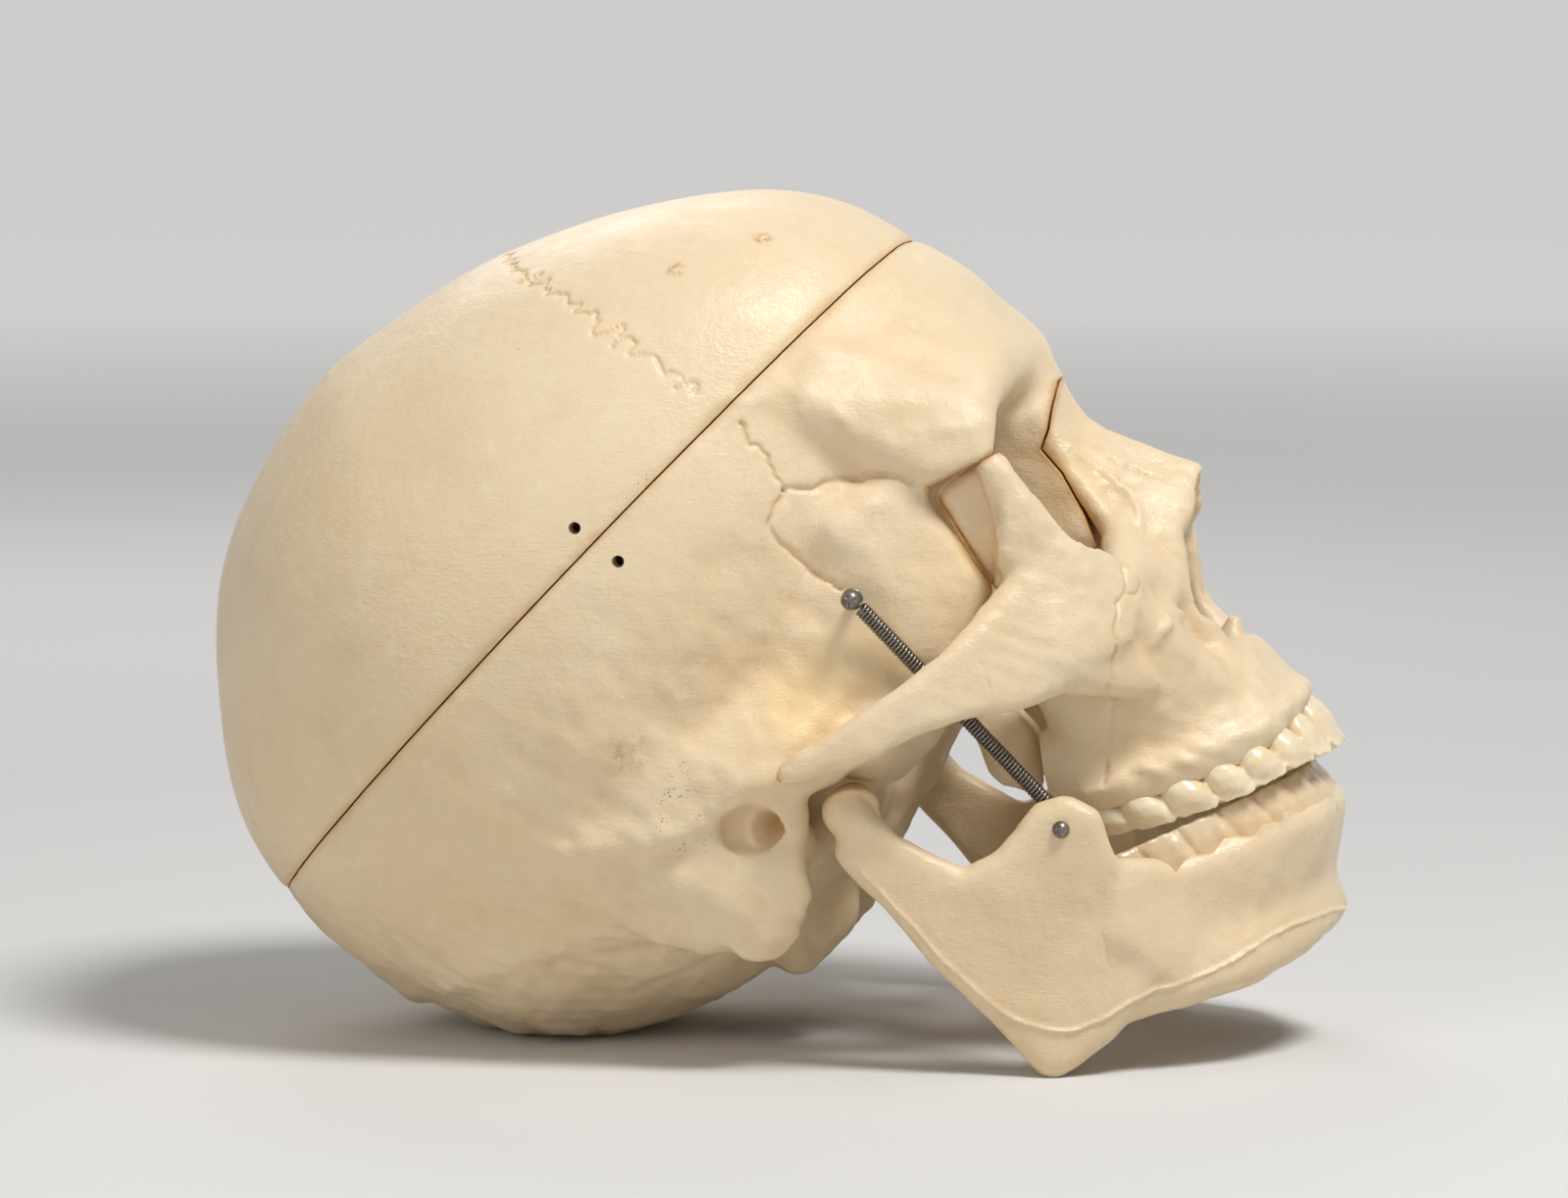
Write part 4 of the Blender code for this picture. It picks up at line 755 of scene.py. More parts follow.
def hollows(co, normal, edges):
    """How strongly the surface is hollow at each point, from 0 to 1."""
    count = len(co)
    degree = np.maximum(np.bincount(edges.ravel(), minlength=count), 1).astype(float)
    step = co[edges[:, 1]] - co[edges[:, 0]]
    length = np.maximum(np.linalg.norm(step, axis=1), 1e-6)
    ahead = (step * normal[edges[:, 0]]).sum(1) / length
    behind = -(step * normal[edges[:, 1]]).sum(1) / length
    bend = (np.bincount(edges[:, 0], ahead, count) + np.bincount(edges[:, 1], behind, count)) / degree
    for _ in range(6):
        total = (np.bincount(edges[:, 0], bend[edges[:, 1]], count)
                 + np.bincount(edges[:, 1], bend[edges[:, 0]], count))
        bend = 0.5 * bend + 0.5 * total / degree
    return np.clip(bend * 3.0, 0.0, 1.0)


def joint_painted_shade(co):
    """Painted shade and glow, strong in the open joints between the base and the face, nothing elsewhere."""
    fold = mirrored(co)
    flat = fold * (1, 0, 1)
    shade_tint = np.zeros(len(co))
    for seam, inner, outer in ((MEDIAL_SEAM[1:-2], 0.0, SEAM_STEP + 1.0),
                               (LATERAL_SEAM[1:-2], SEAM_STEP, 60.0)):
        line = np.array([(x, 0.0, z) for x, z in seam])
        steps = np.linspace(0.0, len(line) - 1.0, 400)
        dense = np.stack([np.interp(steps, np.arange(len(line)), line[:, k]) for k in range(3)], axis=1)
        distance = away_from(flat, dense, JOINT_PAINTED_SHADE_REACH)
        beside = (fold[:, 1] >= inner) & (fold[:, 1] <= outer)
        beside &= (fold[:, 1] < ARCH_INNER) | (fold[:, 2] > ARCH_TOP)
        shade_tint = np.maximum(shade_tint, np.where(beside, np.exp(-(distance / JOINT_PAINTED_SHADE_WIDTH) ** 4), 0.0))
    return shade_tint


def keep_value(obj, name, values):
    """Store a value on each point for the material to read."""
    store = obj.data.attributes.new(name, "FLOAT", "POINT")
    store.data.foreach_set("value", np.asarray(values, dtype=np.float32))


def paint(obj, lines=(), saw=False, joints=False):
    """Store where the bone gets painted shade (hollows, grooved lines, the saw cut and the joints), where it
    is stained or specked, and where it gets a painted glow as if lit through, for the material to read.
    """
    co = coordinates(obj)
    edges = np.empty(len(obj.data.edges) * 2, dtype=np.int64)
    obj.data.edges.foreach_get("vertices", edges)
    # Painted shade mask: the more hollow a point, the more orange-brown shade the material paints there.
    depth = hollows(co, normals(obj), edges.reshape(-1, 2))
    fold = mirrored(co)
    for line, width, _, shade_tint in lines:
        # Painted shade along the grooved lines.
        if shade_tint:
            distance = away_from(fold, line, 3 * width)
            depth = np.maximum(depth, shade_tint * np.exp(-(distance / width) ** 2))
    if saw:
        middle, up = saw_plane()
        away = np.abs((co - np.array(middle)) @ np.array(up))
        # Painted shade along the saw cut.
        depth = np.maximum(depth, SAW_PAINTED_SHADE * np.exp(-(away / SAW_PAINTED_SHADE_WIDTH) ** 2))
    if joints:
        # Painted shade and glow in the open joints.
        depth = np.maximum(depth, joint_painted_shade(co))
    # The hollow value carries the painted shade to the material.
    keep_value(obj, "hollow", depth)
    for name, spots in (("stain", STAINS), ("specks", SPECKS), ("glow", GLOWS)):
        amount = np.zeros(len(co))
        for x, out, z, radius, strength in spots:
            square = ((co - (x, -out, z)) ** 2).sum(1)
            amount = np.maximum(amount, strength * np.exp(-(square / radius ** 2) ** 2))
        keep_value(obj, name, amount)


def finish(obj, name, body, node, look, sharp=40.0):
    """Bring a piece to the row's frame, name it, tie it to its body and hide its node."""
    obj.data.transform(skull_to_row())
    obj.name = name
    obj.data.name = name
    obj.data.materials.clear()
    obj.data.materials.append(look)
    obj.data.shade_smooth()
    obj.data.set_sharp_from_angle(angle=math.radians(sharp))
    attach(obj, body)
    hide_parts(node)
    return obj


def add_orbits(bm):
    """Add the form that hollows out both eye sockets."""
    add_both(bm, (94, 21, 25, 7.5), (94, 37, 24, 8), (94, 37.5, 8, 8), (94, 25, 7, 7.5),
             (72, 21, 25, 7.5), (72, 35.5, 24, 8), (72, 36, 8, 8), (72, 24, 7, 7.5), (42, 15, 15, 4))


def fused(bm, grain, smoothing):
    """The union of the shells in bm as one smooth object."""
    obj = object_of(bm)
    remesh(obj, grain, smoothing)
    return obj


def cranium_hollows():
    """One cutter for the sockets, the jaw's joints, the ear canals and the grooves behind them."""
    bm = bmesh.new()
    add_orbits(bm)
    reach = CONDYLE_RADIUS + 0.7
    ear = EAR_OUT
    add_both(bm, (HINGE.x, CONDYLE_INNER, HINGE.z, reach), (HINGE.x, CONDYLE_OUTER + 6, HINGE.z, reach),
             (HINGE.x + 2, CONDYLE_OUTER, HINGE.z - 14, reach),
             (HINGE.x + 2, CONDYLE_INNER, HINGE.z - 14, reach))
    add_both(bm, (-0.4, ear + 8.0, -0.8, 2.7), (0.8, ear + 3.0, -1.4, 2.4), (2.0, ear - 2, -2.2, 2.0))
    add_both(bm, (-2.2, ear + 11.3, 0.4, 7.0))
    neck = BRANCH_OUT
    add_both(bm, (6.2, neck, -11.3, 3.4), (6.2, neck + 5.5, -11.3, 3.4), (5.7, neck, -14.6, 3.4),
             (5.7, neck + 5.5, -14.6, 3.4))
    add_both(bm, (-26, ear - 11, -10, 2.6), (-4, ear - 13, -19, 2.6), (-14, ear - 14, -24, 3))
    return fused(bm, 0.9, 1)


def face_room():
    """One cutter for the room of the face, half a joint gap behind the joints, and of the arches."""
    gap = JOINT_GAP / 2
    room = prism(face_side(MEDIAL_SEAM, gap), (-SEAM_STEP, SEAM_STEP))
    bm = bmesh.new()
    add_both(bm, *[(x, out, z, radius + JOINT_GAP) for x, out, z, radius in CHEEK_REAR])
    for first, second in zip(ARCH, ARCH[1:]):
        add_both(bm, *[(x, out, z, radius + ARCH_ROOM) for x, out, z, radius in first + second])
    cut(room, fused(bm, 0.9, 1), "UNION")
    for side in (RIGHT, LEFT):
        reach = sorted((side * (SEAM_STEP - gap), side * 90.0))
        cut(room, prism(face_side(LATERAL_SEAM, gap), reach), "UNION")
    return room


def base_room():
    """One cutter for the room of the base, half a joint gap in front of the joints."""
    gap = JOINT_GAP / 2
    room = prism(base_side(MEDIAL_SEAM, gap), (-SEAM_STEP - gap, SEAM_STEP + gap))
    for side in (RIGHT, LEFT):
        behind = prism(base_side(LATERAL_SEAM, gap), sorted((side * SEAM_STEP, side * 90.0)))
        beside = sorted((side * ARCH_INNER, side * 95.0))
        cut(behind, box((-30, 61), beside, (-60, ARCH_TOP)))
        cut(room, behind, "UNION")
    return room


def half_space(above):
    """A block above or below the saw cut, half the gap away from it."""
    middle, up = saw_plane()
    size = 300.0
    lift = (size - SAW_GAP) / 2 if above else (SAW_GAP - size) / 2
    turn = up.to_track_quat("Z", "Y").to_matrix().to_4x4()
    bm = bmesh.new()
    bmesh.ops.create_cube(bm, size=size)
    bm.transform(Matrix.Translation(middle) @ turn @ Matrix.Translation((0, 0, lift)))
    return object_of(bm)


def floor_block():
    """A block whose top is the surface that the skull stands on."""
    bm = bmesh.new()
    bmesh.ops.create_cube(bm, size=1.0)
    bm.transform(Matrix.Rotation(LEAN, 4, "Y") @ Matrix.Translation((-STAND_X, 0, -STAND_Z - 50))
                 @ Matrix.Diagonal((400, 400, 100, 1)))
    return object_of(bm)


def holes(*spots):
    """One cutter for a hole on each side at every spot of x, z, inner end, outer end and radius."""
    parts = bmesh.new()
    for x, z, inner, outer, radius in spots:
        for side in (RIGHT, LEFT):
            pin = bmesh.new()
            bmesh.ops.create_cone(pin, cap_ends=True, segments=24, radius1=radius, radius2=radius,
                                  depth=outer - inner)
            pin.transform(Matrix.Translation((x, side * (inner + outer) / 2, z))
                          @ Matrix.Rotation(math.pi / 2, 4, "X"))
            mesh = bpy.data.meshes.new("pin")
            pin.to_mesh(mesh)
            pin.free()
            parts.from_mesh(mesh)
            bpy.data.meshes.remove(mesh)
    return object_of(parts)


def wear_saw_edge(obj):
    """Round both lips of the saw cut, more in some places than in others."""
    co = coordinates(obj)
    middle, up = saw_plane()
    away = np.abs((co - np.array(middle)) @ np.array(up))
    worn = sizes().saw_bevel * (0.75 + 0.45 * lumps(co, 16.0, 5) + 0.2 * lumps(co, 2.5, 6))
    worn *= np.exp(-(away / SAW_WEAR_WIDTH) ** 2)
    set_coordinates(obj, co - normals(obj) * worn[:, None])


def saw_lip():
    """Rays from the middle of the saw cut, turning from the front over the left to the back."""
    middle, up = saw_plane()
    ahead = up.cross(Vector((0, 1, 0)))
    rows = []
    for k in range(SAW_LIP_POINTS):
        angle = math.pi * k / (SAW_LIP_POINTS - 1)
        way = ahead * math.cos(angle) + Vector((0, 1, 0)) * math.sin(angle)
        rows.append((middle, way))
    return rows


def make_braincase():
    """The cap and the base, parted by the saw cut."""
    whole = fused(cranium_shells(), 1.5, 9)
    cut(whole, cranium_hollows())
    remesh(whole, sizes().bone_grain, 4)
    tree = surface_tree(whole)
    sutures = laid(tree, SUTURES)
    ridges = laid(tree, BONE_RIDGES)
    lip = [tree.ray_cast(spot + way * 200.0, -way)[0] for spot, way in saw_lip()]
    refine_near(whole, sutures + [(np.array(lip), 1.0, 0.0, 0.0)], 1.5)
    refine_near(whole, sutures, 1.1)
    co = coordinates(whole)
    low = smoothstep((62.0 - co[:, 2]) / 40.0) * (0.45 + 0.55 * smoothstep((58.0 - co[:, 0]) / 36.0))
    behind = smoothstep((30.0 - co[:, 2]) / 24.0) * smoothstep((-6.0 - co[:, 0]) / 30.0)
    roughen(whole, 0.45, 17.0, 1, 0.25 + 0.75 * low)
    roughen(whole, 0.36, 6.5, 2, 0.08 + 0.92 * low)
    roughen(whole, 0.16, 2.8, 3, 0.05 + 0.80 * low + 0.6 * behind)
    dimple(whole, CRANIUM_DIMPLES)
    press(whole, ridges)
    press(whole, sutures)
    wear_saw_edge(whole)
    cut(whole, object_of(egg_mesh(5, brain_cavity_outline(), WALL)))
    foramen = bmesh.new()
    bmesh.ops.create_cone(foramen, cap_ends=True, segments=48, radius1=1, radius2=1, depth=60)
    foramen.transform(Matrix.Translation(FORAMEN_PLACE) @ Matrix.Diagonal((*FORAMEN_HALVES, 1, 1)))
    cut(whole, object_of(foramen))
    cap = copy_of(whole)
    cut(cap, half_space(False))
    base = whole
    cut(base, half_space(True))
    cut(cap, holes((*LATCH_HOLES_CAP, 54, 80, LATCH_HOLE_RADIUS)))
    cut(base, floor_block())
    cut(base, face_room())
    cut(base, holes((*LATCH_HOLES_BASE, 54, 80, LATCH_HOLE_RADIUS),
                    (*TEMPLE, TEMPLE_BONE - 7, 70, SCREW_HOLE_RADIUS)))
    paint(cap, sutures, saw=True)
    paint(base, sutures, saw=True, joints=True)
    finish(cap, "skull_cap_shell", "cap", "skull_cap", bone("cap_ivory", 0.40))
    finish(base, "cranial_base_shell", "skull", "cranial_base", bone("base_ivory", 0.44))


def add_root(bm, centre, along, size, up):
    """Add the soft bulge that a tooth's root makes in the bone."""
    _, _, gum, _, width, depth = size
    across = Vector((along.y, -along.x))
    rows = []
    for rise, inward, thick in ((1.2, 0.2, 0.32), (7.0, 1.6, 0.25), (13.0, 3.4, 0.15)):
        spot = centre + across * (depth * 0.5 - width * thick - inward)
        rows.append((spot.x, spot.y, gum + up * rise, width * thick))
    add_hull(bm, rows, LEFT)


def make_face():
    """The face block."""
    obj = fused(face_shells(), 1.0, 4)
    hollow = bmesh.new()
    add_orbits(hollow)
    add_middle(hollow, (104, 0, -7, 5.4), (92, 0, -9, 5.6), (86, 1.4, -17, 7.8), (84, 0.6, -24, 6.6),
               (60, 0, -8, 7), (60, 0, -26, 7), (40, 0, -8, 7), (36, 0, -24, 7))
    add_middle(hollow, (91.4, 12, -14.5, 5.0), (86.2, 12, -21.4, 4.4))
    cut(obj, fused(hollow, 0.8, 1))
    spine = bmesh.new()
    add_middle(spine, (76.0, 1.5, -31.0, 3.0), (84.6, 0, -27.8, 1.4), (79.0, 3.0, -33.6, 3.4))
    cut(obj, object_of(spine), "UNION")
    remesh(obj, sizes().face_grain, 3)
    tree = surface_tree(obj)
    seams = laid(tree, FACE_LINES)
    rim = laid(tree, ((RECESS_RIM, 0.0, 1.0, 1.0, 0.0, 0.0),))
    refine_near(obj, seams + rim, 1.4)
    refine_near(obj, rim, 0.9)
    sink_above(obj, RECESS_RIM, 2.6, 1.1)
    roughen(obj, 0.24, 7.0, 21)
    roughen(obj, 0.08, 2.4, 22)
    dimple(obj, FACE_DIMPLES)
    press(obj, seams)
    cut(obj, base_room())
    cut(obj, gum_block())
    paint(obj, seams, joints=True)
    finish(obj, "face_shell", "skull", "face_block", bone("face_ivory", 0.38))


def cranium_shells():
    """The braincase's outer form and the bone that stands out from it."""
    bm = egg_mesh(6, MIDLINE, 0.0)
    brow = ((83.6, 0, 36, 6.6), (83.4, 14, 38, 6.6), (82.0, 26, 38.5, 6.2), (79.0, 36, 37, 5.6),
            (75.5, 43, 33, 5.0), (73.2, 46.2, 29.5, 4.2))
    add_chain(bm, *[(ball,) for ball in brow])
    add_both(bm, (73.2, 46.2, 27.5, 4.0), (66.0, 47.4, 31, 4.2), (73.5, 43.0, 38, 4.8),
             (60, 44.5, 40, 5), (75.5, 43, 33, 5))
    add_middle(bm, (82.5, 8, 52, 5.5), (79.0, 21, 52, 5.5), (83.4, 14, 38, 6.6),
               (82.0, 26, 38.5, 6.2))
    add_both(bm, (79.0, 21, 52, 5.5), (72.5, 33.5, 52, 5.0), (82.0, 26, 38.5, 6.2),
             (79.0, 36, 37, 5.6))
    add_both(bm, (73.0, 42.6, 38, 4.8), (60, 44.5, 40, 5), (68.6, 40.0, 48, 4.8), (54, 48.5, 54, 4),
             (76.6, 34, 40, 5))
    add_both(bm, (68.6, 40.0, 48, 4.8), (54, 48.5, 54, 4), (61, 43.0, 60, 4), (76.6, 34, 40, 5),
             (73.4, 31, 50, 4.6))
    add_both(bm, (57.2, 45.4, 31, 4.0), (56.2, 42.6, 8, 4.0), (45, 48.6, 33, 6), (44, 45, 4, 5.5))
    add_both(bm, (52, 40, 8, 4.5), (36, 36, -2, 5.5), (20, 44, -1, 5.5), (20, 30, -4, 6))
    add_middle(bm, (84.0, 0, 33, 6.0), (79.0, 9, 27, 4.5), (66, 10, 28, 5))
    add_middle(bm, (77.0, 9.6, 20, 5.2), (75.5, 11.0, 3, 5.6), (44, 9, 22, 6), (44, 8, 2, 7))
    add_middle(bm, (84.5, 4, 30, 5.0), (80.0, 10, 25.5, 5.0), (72, 10, 24, 5))
    add_middle(bm, (46, 7, 4, 8), (24, 8, -4, 8))
    add_middle(bm, (24, 8, -4, 8), (2, 9, -15, 6.5))
    add_both(bm, (40, 14, -4, 5), (38, 15, -26, 2.4), (43, 16, -24, 2.2))
    add_both(bm, (40, 18, -6, 3.4), (35, 25, -23, 2.0), (44, 23, -18, 2.4), (39, 22, -28, 1.8))
    add_both(bm, (-7, 12, -22.5, 4.6), (-18, 17, -23.0, 4.6))
    ear = EAR_OUT
    root = ARCH_ROOT_OUT
    add_both(bm, (-19, ear - 3, 2, 9), (-1, ear - 1, 3, 8), (-7, ear - 2.5, -12, 6.5),
             (-12.5, ear - 3.5, -15.6, 5.4))
    add_both(bm, (-30, ear - 3.5, 10, 8), (-19, ear - 3, 2, 9), (-22, ear - 6, -8, 6))
    add_both(bm, (-12.5, ear - 1.0, -8.5, 6.8), (-14.0, ear - 2.6, -15.0, 6.0), (-19, ear - 6, -6, 6))
    add_both(bm, (4.0, ear + 1, 1.5, 4.0), (1.2, ear + 1.2, -5.0, 3.8), (-4.5, ear, -11, 3.8),
             (-4, ear - 8, -6, 5))
    add_both(bm, (-4, ear - 10, -6, 7), (12, 20, -8, 6))
    add_chain(bm, ((-34, root - 5, 22, 6.5), (-30, root - 6, 14, 6.5)),
              ((-8, root - 1.5, 22, 5.5), (-8, root - 2.5, 9, 5.5)),
              ((7, root - 5, 18, 5), (6.5, root - 0.5, 6.6, 4.4)))
    add_both(bm, (6.5, root - 0.5, 6.6, 4.4), (13.0, root - 1.4, 7.6, 3.6), (7, root - 5, 18, 5),
             (19, root - 4.6, 8.4, 3.6), (26, root - 9.5, 9, 4.6), (16, root - 8.4, 17, 5))
    add_both(bm, (26, root - 9.5, 9, 4.6), (16, root - 8.4, 17, 5), (44, 45.5, 6, 5), (45, 48.0, 28, 5),
             (30, root - 9.5, 22, 5))
    add_both(bm, (5, root, 4.8, 3.4), (9, root - 0.1, 2.6, 2.6), (22, root - 2.5, 0, 3.2),
             (14, root - 8.5, 2, 5))
    add_both(bm, (22, root - 2.5, 0, 3.2), (24, root - 12.5, -2.2, 4.2), (34, root - 12.5, 2, 5))
    add_both(bm, (-3, ear - 1.5, -6, 4.5), (2.4, ear - 6, -6, 3.6))
    add_both(bm, (4.4, ear + 1, 0.8, 3.9), (4.7, ear + 0.6, -2.6, 3.5), (1.0, ear, -3.8, 3.6))
    return bm


def face_shells():
    """Cheekbones, arches, nose and upper jaw."""
    bm = bmesh.new()
    nose = (
        ((88.0, 0, 31.0, 2.0), (83.0, 7.6, 28.0, 3.4)),
        ((86.6, 0, 27.0, 1.9), (81.0, 8.4, 22.5, 3.2)),
        ((86.2, 0, 20.8, 1.9), (80.0, 9.5, 15.0, 3.0)),
        ((88.0, 0, 15.4, 1.9), (80.5, 11.5, 8.0, 3.2)),
        ((91.2, 0, 9.4, 1.9), (80.5, 13.0, 2.0, 3.4)),
        ((97.6, 0, -0.8, 1.9), (90.6, 8.4, -5.6, 2.2), (84.0, 12.6, -6.0, 3.0)),
    )
    for first, second in zip(nose, nose[1:]):
        add_middle(bm, *first, *second)
    add_chain(bm, ((80.5, 13.0, 2.0, 3.4),), ((86.2, 11.6, -7.6, 3.0),), ((82.8, 12.2, -14.5, 3.2),),
              ((80.2, 12.4, -22, 3.4),), ((79.2, 10.0, -29, 4.0),))
    add_both(bm, (80.5, 13.5, 0, 3.4), (81, 14.6, -14, 3.6), (77, 25, -7, 4.2), (75, 24, -16, 4.6))
    add_both(bm, (76, 22, -10, 5), (73, 36, -8, 5), (56, 34, -8, 4.5), (52, 27, -28, 5),
             (75.5, 20, -34, 5), (64, 25, -36, 5))
    add_middle(bm, (78, 0, -29.5, 3), (83.8, 0, -27.8, 1.1))
    add_middle(bm, (79, 0, -31, 3.2), (82.4, 0, -44.5, 4.6), (79, 13, -32, 4), (77, 17, -44, 5))
    arch_sections = []
    for x, out, gum, _, _, depth in UPPER_TEETH:
        root = (x - 2.2, out - 0.6, gum + 14, 4.4)
        arch_sections.append(((x - 0.6, out, gum + 3.2, depth / 2 + 0.9), root))
    add_chain(bm, *arch_sections)
    add_middle(bm, *arch_sections[0])
    add_middle(bm, (78, 4, -37.5, 2.6), (70, 16, -37, 2.6), (51, 20, -33, 2.6))
    add_both(bm, (74.2, 46.6, 24.0, 3.0), (73.4, 46.4, 16, 3.6), (71.4, 46.0, 11, 3.6))
    add_both(bm, (73.4, 46.4, 16, 3.6), (72.8, 43.2, 7, 4.0), (66.4, 46.8, 9.5, 3.6))
    add_both(bm, (72.8, 43.0, 5, 4.2), (75.2, 35.5, -3.8, 4.4), *CHEEK_REAR[:2],
             (70, 40, -13.6, 5), (76, 32, -10, 4.4))
    add_both(bm, *CHEEK_REAR[1:], (68, 39.5, -15.4, 4), (68, 34, -24, 4))
    add_both(bm, (71, 44.4, 24.5, 2.4), (64.0, 44.8, 25.0, 2.4), (61.4, 42.4, 6, 2.4),
             (70, 42.6, 6, 2.6))
    add_chain(bm, *ARCH)
    for centre, along, size, _ in tooth_frames(UPPER_TEETH):
        add_root(bm, centre, along, size, 1)
    return bm


def gum_block():
    """A block under the upper jaw whose top follows the gum line, a little below it."""
    line = sorted((x, gum) for x, _, gum, _, _, _ in UPPER_TEETH)
    line = [(line[0][0] - 8, line[0][1] + 3.0)] + line + [(line[-1][0] + 12, line[-1][1])]
    line = [(x, z - GUM_OVERLAP) for x, z in line]
    return prism(line + [(line[-1][0], line[-1][1] - CUT_REACH), (line[0][0], line[0][1] - CUT_REACH)],
                 TEETH_ROOM)


def tooth_frames(teeth):
    """For every tooth on both sides: centre, direction along the row, its sizes and two slopes.

    The slopes are how much the gum line and the biting edge rise with each millimetre along the row.
    """
    row = [(t[0], -t[1]) for t in reversed(teeth)] + [(t[0], t[1]) for t in teeth]
    table = list(reversed(teeth)) + list(teeth)
    frames = []
    for i, (x, y) in enumerate(row):
        first = max(i - 1, 0)
        last = min(i + 1, len(row) - 1)
        way = Vector(row[last]) - Vector(row[first])
        slopes = ((table[last][2] - table[first][2]) / way.length,
                  (table[last][3] - table[first][3]) / way.length)
        frames.append((Vector((x, y)), way.normalized(), table[i], slopes))
    return frames


UPPER_RINGS = ((-0.30, 0.50, 0.56), (-0.08, 0.74, 0.82), (0.14, 0.93, 0.98), (0.40, 1.05, 1.07),
               (0.68, 1.07, 1.02), (0.88, 1.00, 0.84), (1.0, 0.86, 0.58))
LOWER_RINGS = ((-0.50, 1.04, 0.60), (-0.15, 1.06, 0.86), (0.25, 1.08, 0.98), (0.70, 1.08, 0.97),
               (0.94, 1.05, 0.92), (1.0, 1.02, 0.86))
UPPER_ROUNDNESS = 0.86
LOWER_ROUNDNESS = 0.50


def add_crown(bm, tooth, rings, roundness, number):
    """Add one crown: rings from the neck over the belly to the biting edge."""
    centre, along, (_, _, gum, bite, width, depth), (gum_slope, bite_slope) = tooth
    across = Vector((along.y, -along.x))
    front = number < 3
    verts = []
    for level, wide, deep in rings:
        if front and level > 0.6:
            deep *= 0.62 if number < 2 else 0.8
        for k in range(20):
            angle = (k + 0.5) * math.pi / 10
            u = math.copysign(abs(math.cos(angle)) ** roundness, math.cos(angle)) * width * wide / 2
            v = math.copysign(abs(math.sin(angle)) ** roundness, math.sin(angle)) * depth * deep / 2
            if front and level > 0.6:
                v += depth * 0.10
            flat = centre + along * u + across * v
            neck = gum + gum_slope * u
            z = neck + (bite + bite_slope * u - neck) * level
            verts.append(bm.verts.new((flat.x, flat.y, z)))
    bmesh.ops.convex_hull(bm, input=verts, use_existing_faces=False)


def add_cusps(bm, tooth, number):
    """Add the rounded cusps of a back tooth."""
    centre, along, (_, _, gum, bite, width, depth), (_, slope) = tooth
    across = Vector((along.y, -along.x))
    spots = ((-0.22, 0.20), (0.22, 0.20), (-0.22, -0.22), (0.22, -0.22))
    if number < 5:
        spots = ((0.0, 0.22), (0.0, -0.22))
    for u, v in spots:
        flat = centre + along * (u * width) + across * (v * depth)
        z = bite + slope * u * width + (gum - bite) * 0.22
        add_hull(bm, [(flat.x, flat.y, z, width * 0.19)], LEFT)


def add_flash(bm, frames):
    """Add the thin ragged skin of plastic that hangs from the upper crowns' outer edge."""
    rng = np.random.default_rng(8)
    edge = []
    for centre, along, (_, _, gum, bite, width, depth), (_, slope) in frames:
        across = Vector((along.y, -along.x))
        for u in (-0.48, -0.36, -0.12, 0.12, 0.36, 0.48):
            reach = depth * (0.33 - 0.25 * u * u)
            spot = centre + along * (u * width) + across * reach
            low = bite + slope * u * width
            notch = rng.uniform(0.4, 1.5) if abs(u) > 0.4 else rng.uniform(-0.35, 0.10)
            edge.append((spot, low + (gum - bite) * 0.20, low + notch))
    for first, second in zip(edge, edge[1:]):
        if (first[0] - second[0]).length < 3.6:
            balls = [(spot.x, spot.y, z, FLASH) for spot, top, low in (first, second) for z in (top, low)]
            add_hull(bm, balls, LEFT)


def place_from_middle(i):
    """A tooth's place counted from the middle, from its place along the whole row."""
    return 7 - i if i < 8 else i - 8


def make_teeth():
    """Both rows of crowns."""
    bm = bmesh.new()
    frames = tooth_frames(UPPER_TEETH)
    for i, tooth in enumerate(frames):
        number = place_from_middle(i)
        add_crown(bm, tooth, UPPER_RINGS, UPPER_ROUNDNESS, number)
        if number > 2:
            add_cusps(bm, tooth, number)
    add_flash(bm, frames)
    upper = fused(bm, sizes().tooth_grain, 4)
    roughen(upper, 0.06, 1.6, 31)
    paint(upper)
    finish(upper, "upper_crowns", "skull", "upper_teeth",
           enamel("upper_enamel", colours().upper_tooth))
    bm = bmesh.new()
    for i, tooth in enumerate(tooth_frames(LOWER_TEETH)):
        number = place_from_middle(i)
        add_crown(bm, tooth, LOWER_RINGS, LOWER_ROUNDNESS, number)
    lower = fused(bm, sizes().tooth_grain, 4)
    roughen(lower, 0.10, 2.0, 32)
    paint(lower)
    # The lower crowns get a darker copy of the crown colour as painted shade.
    finish(lower, "lower_crowns", "jaw", "lower_teeth",
           enamel("lower_enamel_shaded", colours().lower_tooth_shaded))


